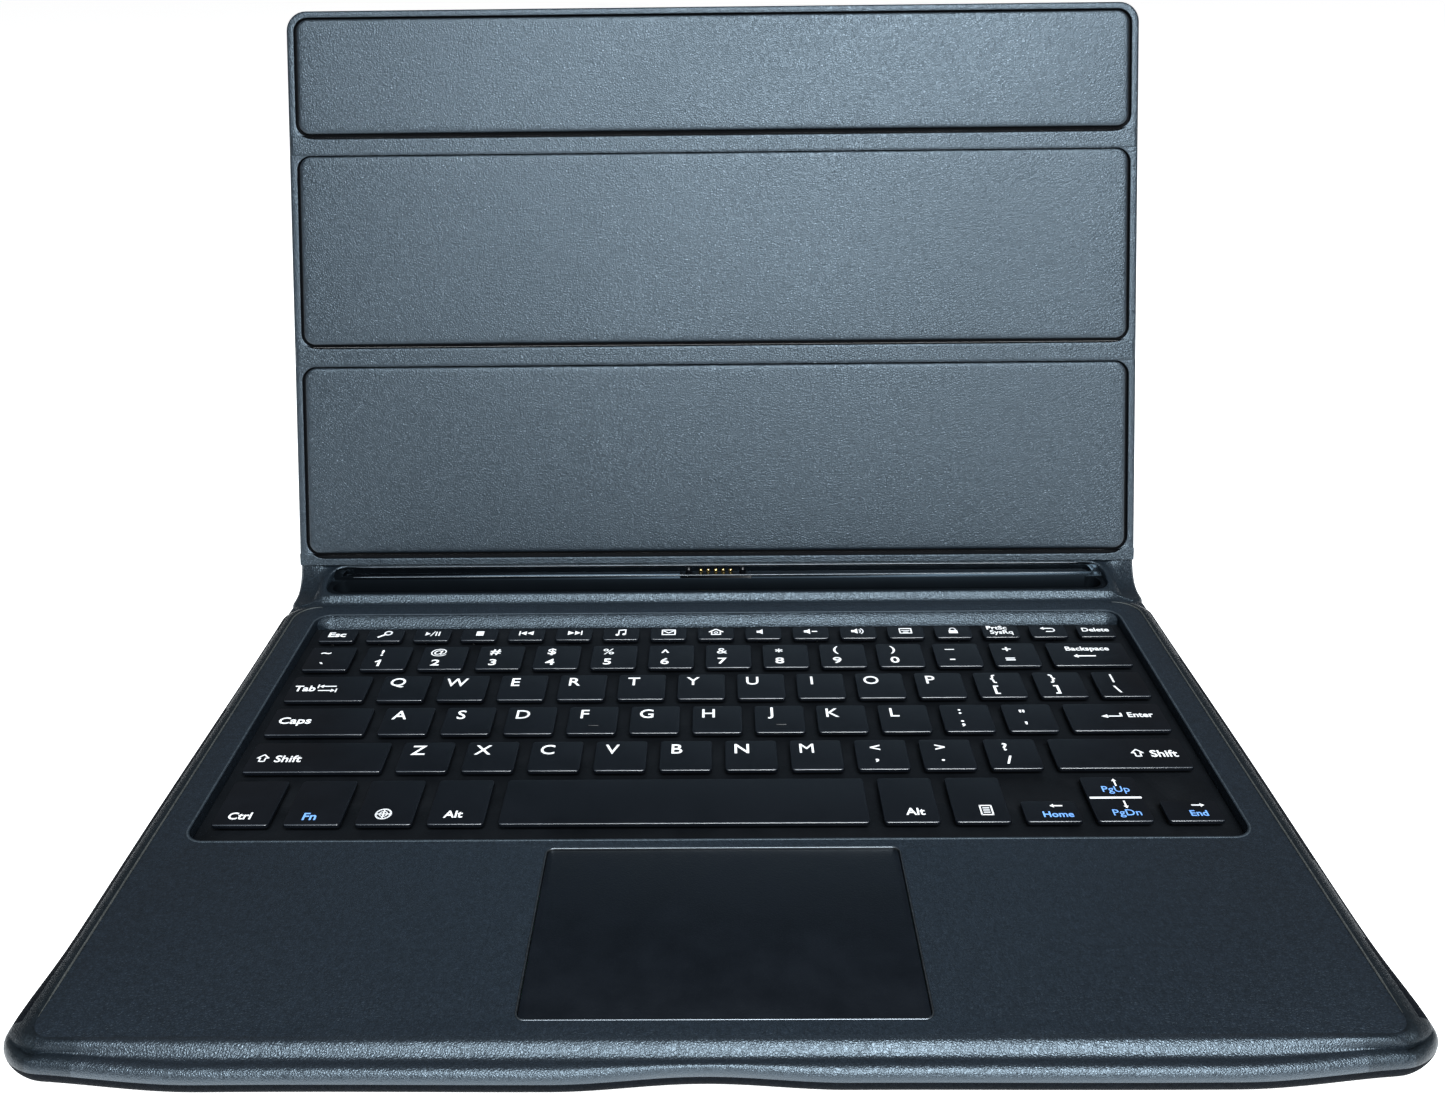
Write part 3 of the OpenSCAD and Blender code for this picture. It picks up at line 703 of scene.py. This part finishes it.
# a groove runs round each lining, its sides and floor painted near-black as shade: its width beside, below
# and above
GROOVE = {"lower": (1.15, 1.9, 0.2), "middle": (1.05, 1.3, 0.2), "top": (1.15, 1.5, 0.7)}


def cover_loops(rows, h0, h1, half, corner=8, sides=(60, 24, 60, 24)):
    """Loops on the cover; a row is side, bottom and top inset, height off the face, lower, upper radius."""
    loops = []
    for s, b, t, z, low, up in rows:
        outline = ring(-half + s, half - s, h0 + b, h1 - t, (low, low, up, up), corner, sides)
        loops.append([on_cover(x, h, z) for x, h in outline])
    return loops


def board_skin(level, top_radius=0.6):
    """A leather-covered board with a shallow tray that the lining sits in."""
    node, lining = f"{level}_board", f"{level}_lining"
    h0, h1 = height_on_cover(node)
    l0, l1 = height_on_cover(lining)
    half, board_half = box_mm(lining)[1].x, box_mm(node)[1].x
    side, _, top = GROOVE[level]
    bottom = l0 - h0 - 0.06
    loops = cover_loops([
        (1.0, 1.0, 1.0, -1.0, 3, 3),
        (-side + 0.3, -bottom + 0.03, -top, -1.0, 4.2, 4.2),
        (-side + 0.1, -bottom + 0.02, -top - 0.04, -0.6, 4.4, 4.3),
        (-side, -bottom + 0.01, -top - 0.08, -0.25, 4.5, 4.4),
        (-side - 0.12, -bottom, -top - 0.16, -0.06, 4.6, 4.5),
        (-side - 0.35, -bottom, -top - 0.3, 0.0, 4.8, 4.7),
    ], l0, l1, half)

    def up(cut):
        return max(0.3, top_radius - cut)

    loops += cover_loops([
        (0.85, 0.02, 0.5 if top_radius < 1 else 0.85, 0.0, 0.3, up(0.85)),
        (0.4, 0.01, 0.3, -0.12, 0.3, up(0.4)),
        (0.12, 0, 0.1, -0.45, 0.3, up(0.12)),
        (0, 0, 0, -1.1, 0.3, up(0)),
        (0.02, 0, 0.02, -1.6, 0.3, up(0)),
        (0.15, 0.05, 0.15, -2.0, 0.3, up(0.15)),
        (0.45, 0.2, 0.45, -2.3, 0.3, up(0.45)),
        (0.95, 0.6, 0.95, -COVER_T, 0.3, up(0.95)),
        (3.0, 3.0, 3.0, -COVER_T, 0.3, up(3)),
    ], h0, h1, board_half)
    # below the lining the groove is open down to the fold
    dipped = []
    for loop in loops:
        points = []
        for x, y, z in loop:
            h, out = from_cover(y, z)
            low = 1 - float(smooth(h, l0 - 0.7, l0 - 0.2))
            inside = 1 - float(smooth(abs(x), half - 3.2, half - 0.6))
            points.append(on_cover(x, h, min(out, out + (-1.0 - out) * low * inside)))
        dipped.append(points)
    skin = make_object(f"{level}_board_skin", *loft(dipped), "outer_leather", 60)

    def in_groove(x, y, z):
        h, out = from_cover(y, z)
        return -1.05 < out < -0.12 and abs(x) < half + side + 0.25 and h0 - 0.2 < h < l1 + top + 0.25

    # the groove's sides and floor are painted near-black: painted shade
    paint(skin, GROOVE_SHADE, in_groove)
    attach(skin, f"{level}_panel")
    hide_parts(node)
    return skin


def padded_panel(level):
    """A thin stiff pad: its sides bulge over the groove round it, and its face crowns very slightly."""
    node = f"{level}_lining"
    h0, h1 = height_on_cover(node)
    half = box_mm(node)[1].x
    rows = [
        (0.5, -0.98, 3.2), (0.3, -0.4, 3.4), (0.08, 0.1, 3.55), (0.0, 0.38, 3.6), (0.06, 0.62, 3.55),
        (0.25, 0.83, 3.4), (0.55, 0.96, 3.2), (1.0, 1.03, 2.9), (1.8, 1.06, 2.5), (3.2, 1.08, 2),
        (6, 1.1, 1.5), (11, 1.12, 1), (16, 1.12, 0.6),
    ]
    loops = cover_loops([(i, i, i, z, r, r) for i, z, r in rows], h0, h1, half)
    pad = make_object(f"{level}_padding", *loft(loops), "inner_leather", 60)
    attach(pad, f"{level}_panel")
    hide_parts(node)
    return pad


for level in ("lower", "middle", "top"):
    board_skin(level, 6.3 if level == "top" else 0.6)
    padded_panel(level)

lower0, lower1 = height_on_cover("lower_lining")
middle0, middle1 = height_on_cover("middle_lining")
COVER_HALF = box_mm("lower_board")[1].x


def margin(x):
    """1 in the margins beside the linings, 0 between them."""
    half = box_mm("lower_lining")[1].x
    return float(smooth(abs(x), half - 3.4, half - 0.4))


def groove_edge(x, level, l0, h0):
    """Height where the leather turns down into the groove below a lining; beside the lining it goes on up."""
    return (l0 - GROOVE[level][1]) + (h0 - l0 + GROOVE[level][1] + 0.6) * margin(x)


def groove_turn(edge, h1, flat):
    """The way from the leather's face down into the groove at edge, and along its floor to h1."""
    return [
        (edge - 0.1, 0.08 * flat - 0.06), (edge, 0.3 * flat - 0.3), (edge + 0.03, -0.7),
        (min(edge + 0.12, h1 - 0.03), -1.02), (h1 - 0.02, -1.06), (h1 - 0.1, -1.7),
    ]


def fold_section(h0, h1, edge, flat, rows=9):
    """A closed section between two panels: flush with their margins inside, a shallow crease outside."""
    inner = [(h, 0.03) for h in np.linspace(h0 + 0.35, edge - 0.3, rows)]
    outer = []
    for h in np.linspace(h1 - 0.6, h0 + 0.6, rows):
        outer.append((h, -2.2 - 0.12 * math.cos((h - h0) / (h1 - h0) * 2 * math.pi)))
    first = [(h0 + 0.02, -0.35), (h0 + 0.12, -0.08)]
    return first + inner + groove_turn(edge, h1, flat) + outer + [(h0 + 0.2, -1.6)]


def paint_groove_shade(piece, level, half):
    """Paints the sides and the floor of the groove below a lining near-black, as painted shade, but not the
    face beside it.
    """
    foot = height_on_cover(f"{level}_lining")[0] - GROOVE[level][1] - 0.02

    def in_groove(x, y, z):
        h, out = from_cover(y, z)
        return h > foot and -1.3 < out < -0.04 and abs(x) < half - 2.4

    # painted shade in the groove below the lining
    paint(piece, GROOVE_SHADE, in_groove)


def fold_piece(level, h0):
    l0 = height_on_cover(f"{level}_lining")[0]
    h1 = height_on_cover(f"{level}_board")[0]
    half = COVER_HALF - 0.06
    loops = []
    for x in ease_x(half, 110):
        in_from_end = half - abs(x)
        squeeze = min(1.0, math.sqrt(max(0.0, 1 - (1 - min(in_from_end, 0.9) / 0.9) ** 2)) * 0.6 + 0.4)
        section = fold_section(h0, h1, groove_edge(x, level, l0, h1), margin(x))
        loops.append([on_cover(x, h, -1.15 + (z + 1.15) * squeeze) for h, z in section])
    piece = make_object(f"{level}_fold_leather", *loft(loops), "inner_leather", 60)
    paint_groove_shade(piece, level, half)
    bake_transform(piece)
    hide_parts(f"{level}_fold_strip")
    return piece


fold_piece("middle", lower1 + 0.32)
fold_piece("top", middle1 + 0.32)


ROOT_TOP = height_on_cover("lower_board")[0]


def cover_root(x):
    """Leather that rises from the dock's back ridge into the lower panel's margin."""
    edge = groove_edge(x, "lower", lower0, ROOT_TOP)
    inner = [(WINDOW_REAR + 0.32, 12.2), (WINDOW_REAR + 0.2, 12.75), (WINDOW_REAR + 0.02, 13.1)]
    rise = [on_cover(0, h, 0.03)[1:] for h in np.linspace(1.5, edge - 0.3, 9)]
    turn = groove_turn(edge, ROOT_TOP, margin(x))
    outer = [on_cover(0, h, -2.28)[1:] for h in np.linspace(ROOT_TOP - 0.6, 1.2, 7)]
    foot = [(DOCK_REAR - 0.12, 12.6), (DOCK_REAR - 0.3, 11.9)]
    return inner + rise + [on_cover(0, h, z)[1:] for h, z in turn] + outer + foot


root_loops = [
    [(x * (1 - 0.001 * (1 - float(smooth(z, 12.4, 17.0)))), y, z) for y, z in cover_root(x)]
    for x in ease_x(COVER_HALF - 0.12, 110, 0.4)
]
root = make_object("cover_root_leather", *loft(root_loops), "inner_leather", 60)
paint_groove_shade(root, "lower", COVER_HALF)
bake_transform(root)
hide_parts("cover_fold_strip")


# ------------------------------------------------------------------ caps
# inset from the cap's outline, and height as a share of the whole
CAP_LEVELS = [
    (0.14, 0.0), (0.03, 0.08), (0.0, 0.22), (0.0, 0.76), (0.02, 0.86), (0.08, 0.94), (0.16, 0.985),
    (0.28, 1.0),
]
STEM_R = 1.9


def circle(cx, cy, r, z, count):
    turn = np.linspace(0, 2 * math.pi, count, endpoint=False)
    return [(cx + r * math.cos(a), cy + r * math.sin(a), z) for a in turn]


def cap_skin(low, high):
    """A cap with soft edges and rounded corners, and the stem under it that reaches its dome."""
    floor = low[2] + (high[2] - low[2]) * 0.61
    x0, y0, x1, y1 = low[0], low[1], high[0], high[1]
    loops = []
    for cut, t in CAP_LEVELS:
        outline = ring(x0 + cut, x1 - cut, y0 + cut, y1 - cut, 1.0 - cut * 0.6, 5)
        loops.append([(x, y, floor + (high[2] - floor) * t) for x, y in outline])
    cx, cy = (x0 + x1) / 2, (y0 + y1) / 2
    parts = ([], [])
    add_to(parts, loft(loops))
    add_to(parts, loft([circle(cx, cy, STEM_R, z, 16) for z in (low[2] + 0.02, floor + 0.1)]))
    return parts


LETTERS = "qwertyuiopasdfghjklzxcvbnm"
KEY_NODES = [f"key_{c}" for c in LETTERS] + [
    "key_space", "key_enter", "key_up_down", "function_keys", "number_and_symbol_keys", "modifier_keys"
]
GROUP_BODIES = {
    "function_keys": "function_caps",
    "number_and_symbol_keys": "number_and_symbol_caps",
    "modifier_keys": "modifier_caps",
}
key_body = {n: GROUP_BODIES.get(n, "cap_" + n[4:]) for n in KEY_NODES}
key_boxes = {n: solids(n) for n in KEY_NODES}
for node, boxes in key_boxes.items():
    parts = ([], [])
    for low, high in boxes:
        add_to(parts, cap_skin(low, high))
    caps = make_object(f"caps_{node}", *parts, "key_black", 50)
    top = boxes[0][1][2]
    fronts = {round(float(low[1]), 2) for low, _ in boxes}

    def on_front_edge_highlight(x, y, z):
        return top - 0.16 < z < top - 0.004 and any(-0.1 < y - front < 0.3 for front in fronts)

    # the front top edge of each cap is painted lighter: a painted highlight along the edge
    paint(caps, CAP_EDGE_HIGHLIGHT, on_front_edge_highlight)
    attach(caps, key_body[node])
    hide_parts(node)


FILM_T = 0.3
KEY_TRAVEL, DOME_R = 1.0, 2.3
domes_low, domes_high = box_mm("rubber_domes")
FILM_TOP = domes_low.z + FILM_T
DOME_H = domes_high.z - FILM_TOP
# radius less the foot's, and height as a share of the whole
DOME_LEVELS = [(0, 0), (0, 0.1), (-0.12, 0.35), (-0.34, 0.65), (-0.56, 0.86), (-0.8, 1.0)]

outline = ring(domes_low.x, domes_high.x, domes_low.y, domes_high.y, 4)
film_loops = [[(x, y, z) for x, y in outline] for z in (domes_low.z, FILM_TOP)]
film = make_object("dome_film", *loft(film_loops), "silicone")
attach(film, "base")
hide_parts("rubber_domes")
for node, boxes in key_boxes.items():
    parts = ([], [])
    for low, high in boxes:
        cx, cy = (low[0] + high[0]) / 2, (low[1] + high[1]) / 2
        add_to(parts, loft([circle(cx, cy, DOME_R + dr, FILM_TOP + DOME_H * t, 20) for dr, t in DOME_LEVELS]))
    domes = make_object(f"domes_{node}", *parts, "silicone", 60)
    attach(domes, "base")
    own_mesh(domes)


# ------------------------------------------------------------------ legends
PRINT_T = 0.03


def prism(points, z0, z1):
    """A flat shape stood up between two heights."""
    n = len(points)
    verts = [(x, y, z0) for x, y in points] + [(x, y, z1) for x, y in points]
    faces = [tuple(range(n))[::-1], tuple(range(n, 2 * n))]
    faces += [(i, (i + 1) % n, n + (i + 1) % n, n + i) for i in range(n)]
    return verts, faces


def stroke(points, width, closed=False):
    """Bars along a line of points, each a little longer than its stretch so that they meet."""
    line = list(points) + ([points[0]] if closed else [])
    bars = []
    for a, b in zip(line, line[1:]):
        d = np.array(b, float) - np.array(a, float)
        d /= max(1e-9, np.linalg.norm(d))
        n = np.array([-d[1], d[0]]) * width / 2
        a2, b2 = np.array(a) - d * width * 0.4, np.array(b) + d * width * 0.4
        bars.append([tuple(a2 - n), tuple(b2 - n), tuple(b2 + n), tuple(a2 + n)])
    return bars


def arc(cx, cy, r, start, end, steps=12):
    turn = [math.radians(start + (end - start) * i / steps) for i in range(steps + 1)]
    return [(cx + r * math.cos(a), cy + r * math.sin(a)) for a in turn]


def box_outline(half_w, half_h):
    return [(-half_w, -half_h), (half_w, -half_h), (half_w, half_h), (-half_w, half_h)]


def speaker():
    return [
        [(-1.0, -0.28), (-0.6, -0.28), (-0.6, 0.28), (-1.0, 0.28)],
        [(-0.6, -0.28), (-0.1, -0.7), (-0.1, 0.7), (-0.6, 0.28)],
    ]


def arrow(x0, x1, width=0.26, head=0.42):
    """A horizontal arrow from x0 to its point at x1."""
    way = 1 if x1 > x0 else -1
    neck = x1 - way * head * 1.5
    return stroke([(x0, 0), (neck, 0)], width) + [[(neck, -head), (x1, 0), (neck, head)]]


def turned(shapes, quarter):
    c, s = ((1, 0), (0, 1), (-1, 0), (0, -1))[quarter % 4]
    return [[(x * c - y * s, x * s + y * c) for x, y in shape] for shape in shapes]


def moved(shapes, dx, dy, k=1.0):
    return [[(x * k + dx, y * k + dy) for x, y in shape] for shape in shapes]


# each icon is a list of flat shapes about its own middle, from about -1 to 1
ICONS = {
    "one": stroke([(0.12, -0.95), (0.12, 0.95)], 0.36) + stroke([(0.12, 0.85), (-0.42, 0.42)], 0.3),
    "find": stroke(arc(0.3, 0.25, 0.5, 0, 360, 16), 0.24) + stroke([(-0.1, -0.15), (-0.95, -0.85)], 0.32),
    "play": [[(-1.1, -0.5), (-0.35, 0), (-1.1, 0.5)]]
    + stroke([(-0.25, -0.6), (0.2, 0.6)], 0.16)
    + stroke([(0.5, -0.5), (0.5, 0.5)], 0.2)
    + stroke([(0.95, -0.5), (0.95, 0.5)], 0.2),
    "stop": [box_outline(0.55, 0.6)],
    "back": stroke([(-1.1, -0.5), (-1.1, 0.5)], 0.2)
    + [[(-0.95, 0), (-0.1, -0.55), (-0.1, 0.55)], [(0.0, 0), (0.95, -0.55), (0.95, 0.55)]],
    "next": stroke([(1.1, -0.5), (1.1, 0.5)], 0.2)
    + [[(0.95, 0), (0.1, 0.55), (0.1, -0.55)], [(0.0, 0), (-0.95, 0.55), (-0.95, -0.55)]],
    "note": stroke([(-0.4, -0.6), (-0.4, 0.65)], 0.18)
    + stroke([(0.6, -0.45), (0.6, 0.8)], 0.18)
    + stroke([(-0.4, 0.65), (0.6, 0.8)], 0.26)
    + [arc(-0.62, -0.62, 0.26, 0, 330, 9), arc(0.38, -0.47, 0.26, 0, 330, 9)],
    "mail": stroke(box_outline(0.95, 0.65), 0.2, True) + stroke([(-0.7, 0.35), (0, -0.2), (0.7, 0.35)], 0.18),
    "home": stroke([(-1.0, 0.05), (0, 0.8), (1.0, 0.05)], 0.22)
    + stroke([(-0.65, 0.1), (-0.65, -0.7), (0.65, -0.7), (0.65, 0.1)], 0.2)
    + stroke(arc(0, -0.15, 0.24, 0, 360, 10), 0.16),
    "mute": speaker(),
    "quiet": speaker() + stroke([(0.25, 0), (0.9, 0)], 0.22),
    "loud": speaker()
    + stroke(arc(-0.1, 0, 0.45, -50, 50, 6), 0.18)
    + stroke(arc(-0.1, 0, 0.85, -50, 50, 6), 0.18),
    "sums": stroke(box_outline(0.85, 0.65), 0.2, True)
    + stroke([(-0.55, 0.1), (0.55, 0.1)], 0.16)
    + stroke([(-0.3, -0.35), (0.3, -0.35)], 0.2),
    "lock": [[(-0.65, -0.75), (0.65, -0.75), (0.65, 0.05), (-0.65, 0.05)]]
    + stroke([(-0.4, 0.0)] + arc(0, 0.3, 0.4, 180, 0, 8) + [(0.4, 0.0)], 0.2),
    "undo": stroke([(-0.6, 0.45), (0.5, 0.45)] + arc(0.5, 0.0, 0.45, 90, -90, 8) + [(-0.3, -0.45)], 0.2)
    + [[(-1.1, 0.45), (-0.5, 0.1), (-0.5, 0.8)]],
    "tabs": moved(arrow(0.8, -0.9, 0.16, 0.3), 0, 0.42)
    + stroke([(-1.0, 0.12), (-1.0, 0.72)], 0.14)
    + moved(arrow(-0.8, 0.9, 0.16, 0.3), 0, -0.42)
    + stroke([(1.0, -0.72), (1.0, -0.12)], 0.14),
    "long_left": arrow(1.3, -1.3, 0.2, 0.36),
    "enter": stroke([(1.0, 0.55), (1.0, -0.1), (-0.3, -0.1)], 0.22)
    + [[(-1.15, -0.1), (-0.45, -0.5), (-0.45, 0.3)]],
    "shift": stroke(
        [(0, 0.95), (0.85, 0.1), (0.4, 0.1), (0.4, -0.75), (-0.4, -0.75), (-0.4, 0.1), (-0.85, 0.1)],
        0.2, True,
    ),
    "globe": stroke(arc(0, 0, 0.85, 0, 360, 20), 0.2)
    + stroke([(-0.8, 0), (0.8, 0)], 0.14)
    + stroke([(0, -0.8), (0, 0.8)], 0.14)
    + stroke(arc(0, 0, 0.45, 0, 360, 12), 0.12),
    "menu": stroke(box_outline(0.7, 0.9), 0.2, True)
    + sum((stroke([(-0.35, y), (0.35, y)], 0.18) for y in (-0.42, 0.0, 0.42)), []),
    "left": arrow(0.9, -0.9, 0.26, 0.4),
    "right": arrow(-0.9, 0.9, 0.26, 0.4),
    "up": turned(arrow(-0.9, 0.9, 0.26, 0.4), 1),
    "down": turned(arrow(-0.9, 0.9, 0.26, 0.4), 3),
    "bar": [[(-1, -0.05), (1, -0.05), (1, 0.05), (-1, 0.05)]],
}
word_cache = {}


def word(text, size, bold):
    """Text as a thin closed mesh centred on its own middle, in mm."""
    key = (text, size, bold)
    if key not in word_cache:
        curve = bpy.data.curves.new("word", "FONT")
        curve.body = text
        curve.size = size
        curve.offset = bold * size
        curve.extrude = PRINT_T / 2
        curve.resolution_u = 3
        holder = bpy.data.objects.new("word", curve)
        mesh = bpy.data.meshes.new_from_object(holder)
        verts = np.array([v.co for v in mesh.vertices]).reshape(-1, 3)
        verts[:, :2] -= (verts[:, :2].min(0) + verts[:, :2].max(0)) / 2
        faces = [tuple(p.vertices) for p in mesh.polygons]
        bpy.data.objects.remove(holder)
        bpy.data.curves.remove(curve)
        bpy.data.meshes.remove(mesh)
        word_cache[key] = (verts, faces)
    return word_cache[key]


def legend_piece(mark, low, high):
    """One printed mark: (text or icon, x and y from the cap's front left corner, size, bold, width share)."""
    kind, x, y, size, bold = mark[:5]
    wide = mark[5] if len(mark) > 5 else 1.0
    cx, cy, z = low[0] + x, low[1] + y, high[2]
    parts = ([], [])
    if kind.startswith("icon:"):
        for shape in ICONS[kind[5:]]:
            placed = [(px * size * wide + cx, py * size * (bold or 1) + cy) for px, py in shape]
            add_to(parts, prism(placed, z - PRINT_T / 2, z + PRINT_T / 2))
    else:
        verts, faces = word(kind, size, bold)
        add_to(parts, ([(v[0] * wide + cx, v[1] + cy, v[2] + z) for v in verts], faces))
    return parts


LETTER_SIZE, BOLD, SMALL_BOLD = 5.7, 0.009, 0.018


def two(low_mark, high_mark, x=4.8):
    """The two marks of a number or symbol cap, one above the other."""
    if low_mark == "1":
        lower = ("icon:one", x, 3.7, 1.6, 1, 1.2)
    else:
        lower = (low_mark, x, 3.7, 4.5, SMALL_BOLD, 1.2)
    # bold strokes would close these marks' small openings
    upper_bold = 0.0 if high_mark in "@%&" else 0.016
    return [lower, (high_mark, x, 9.3, 4.4, upper_bold, 1.15)]


white = {f"key_{c}": [[(c.upper(), 4.3, 9.1, LETTER_SIZE, 0.0 if c == "m" else BOLD)]] for c in LETTERS}
white["key_enter"] = [[("icon:enter", 12.0, 6.9, 2.5, 0.8), ("Enter", 19.6, 7.3, 3.1, SMALL_BOLD)]]
white["key_up_down"] = [[
    ("icon:up", 8.1, 15.0, 1.5, 0), ("icon:bar", 6.65, 8.9, 6.2, 1.1), ("icon:down", 8.2, 6.2, 1.5, 0),
]]
FUNCTION_ICONS = [
    None, "find", "play", "stop", "back", "next", "note", "mail", "home", "mute", "quiet", "loud", "sums",
    "lock", None, "undo", None,
]
white["function_keys"] = [
    [(f"icon:{name}", 5.5, 4.1, 1.75, 1.2, 1.15)] if name else [] for name in FUNCTION_ICONS
]
white["function_keys"][0] = [("Esc", 5.1, 3.9, 3.6, 0.03, 1.15)]
white["function_keys"][14] = [("PrtSc", 4.6, 5.6, 2.9, 0.02), ("SysRq", 5.6, 2.7, 2.9, 0.02)]
white["function_keys"][16] = [("Delete", 5.4, 4.1, 3.0, SMALL_BOLD)]
NUMBER_MARKS = ["`~", "1!", "2@", "3#", "4$", "5%", "6^", "7&", "8*", "9(", "0)", "-_", "=+"]
white["number_and_symbol_keys"] = (
    [two(pair[0], pair[1]) for pair in NUMBER_MARKS]
    + [[("Backspace", 11.6, 9.0, 3.1, SMALL_BOLD), ("icon:long_left", 9.8, 5.2, 2.4, 1.1)]]
    + [two("[", "{", 5.2), two("]", "}", 5.2), two("\\", "|", 5.2)]
    + [two(";", ":", 5.2), two("'", '"', 5.2)]
    + [two(",", "<", 5.2), two(".", ">", 5.2), two("/", "?", 5.2)]
)
white["modifier_keys"] = [
    [("Tab", 4.4, 6.4, 3.9, SMALL_BOLD), ("icon:tabs", 10.6, 6.4, 2.7, 0.95)],
    [("Caps", 6.6, 6.3, 4.1, SMALL_BOLD, 1.08)],
    [("icon:shift", 3.6, 5.9, 1.7, 1), ("Shift", 10.2, 5.7, 3.9, SMALL_BOLD)],
    [("icon:shift", 21.5, 6.2, 1.7, 1), ("Shift", 28.1, 6.0, 3.9, SMALL_BOLD)],
    [("Ctrl", 5.9, 3.5, 3.5, SMALL_BOLD)],
    [],
    [("icon:globe", 6.1, 4.0, 2.1, 1)],
    [("Alt", 5.9, 3.8, 3.6, SMALL_BOLD)],
    [("Alt", 7.7, 4.0, 3.6, SMALL_BOLD)],
    [("icon:menu", 8.0, 4.4, 1.9, 1)],
    [("icon:left", 8.1, 5.9, 1.6, 1)],
    [("icon:right", 8.7, 5.9, 1.6, 1)],
]
blue = {
    "key_up_down": [[("PgUp", 7.6, 11.9, 3.2, 0.002), ("PgDn", 7.7, 2.9, 3.2, 0.002)]],
    "modifier_keys": [[] for _ in range(12)],
}
blue["modifier_keys"][5] = [("Fn", 5.7, 3.2, 3.7, SMALL_BOLD)]
blue["modifier_keys"][10] = [("Home", 8.0, 2.7, 2.9, SMALL_BOLD)]
blue["modifier_keys"][11] = [("End", 7.9, 2.9, 2.9, SMALL_BOLD)]
for slot, marks_of in (("legend_white", white), ("legend_blue", blue)):
    for node, marks in marks_of.items():
        boxes = key_boxes[node]
        if len(marks) != len(boxes):
            raise ValueError(f"{node}: {len(marks)} legends for {len(boxes)} caps")
        parts = ([], [])
        for cap_marks, (low, high) in zip(marks, boxes):
            for mark in cap_marks:
                add_to(parts, legend_piece(mark, low, high))
        printed = make_object(f"{slot}_{node}", *parts, slot, 30)
        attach(printed, key_body[node])

# the raised bars on F and J
for node in ("key_f", "key_j"):
    low, high = key_boxes[node][0]
    x, y, z = low[0] + 7.0, low[1] + 3.7, high[2]
    rows = [(0, -0.05), (0.0, 0.06), (0.1, 0.17), (0.22, 0.2)]
    loops = []
    for cut, h in rows:
        outline = ring(x - 1.5 + cut, x + 1.5 - cut, y - 0.3 + cut, y + 0.3 - cut, 0.28 - cut, 4)
        loops.append([(px, py, z + h) for px, py in outline])
    marker = make_object(f"home_bump_{node}", *loft(loops), "key_black", 50)
    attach(marker, key_body[node])


# ------------------------------------------------------------------ floor and light
floor_mesh = bpy.data.meshes.new("floor")
FLOOR, FLOOR_Z = 14.0, -0.0002
floor_corners = [(x * FLOOR, y * FLOOR, FLOOR_Z) for x, y in ((-1, -1), (1, -1), (1, 1), (-1, 1))]
floor_mesh.from_pydata(floor_corners, [], [(0, 1, 2, 3)])
floor = bpy.data.objects.new("floor", floor_mesh)
scene.collection.objects.link(floor)
pale = Nodes("floor_pale")
pale.set(Base_Color=(0.9, 0.9, 0.9), Roughness=0.85, Specular_IOR_Level=0.1)
pale.set(Emission_Color=(1.0, 1.0, 1.0), Emission_Strength=0.88)
floor_mesh.materials.append(pale.mat)

world = bpy.data.worlds.new("studio")
scene.world = world
world.use_nodes = True
background = world.node_tree.nodes["Background"]
background.inputs["Color"].default_value = (0.97, 0.985, 1.0, 1)
background.inputs["Strength"].default_value = 0.12
scene.view_settings.view_transform = "Standard"


def softbox(name, at, aim, size, power):
    data = bpy.data.lights.new(name, "AREA")
    data.shape = "RECTANGLE"
    data.size, data.size_y = size
    data.energy = power
    data.color = (0.92, 0.97, 1.0)
    lamp = bpy.data.objects.new(name, data)
    lamp.location = at
    lamp.rotation_euler = (Vector(aim) - Vector(at)).to_track_quat("-Z", "Y").to_euler()
    scene.collection.objects.link(lamp)


softbox("front_softbox", (0.32, -1.45, 0.88), (0.03, 0.1, 0.1), (0.5, 0.4), 15.5)
softbox("upper_softbox", (0.15, -0.85, 1.25), (0.0, 0.0, 0.02), (1.0, 0.5), 38)
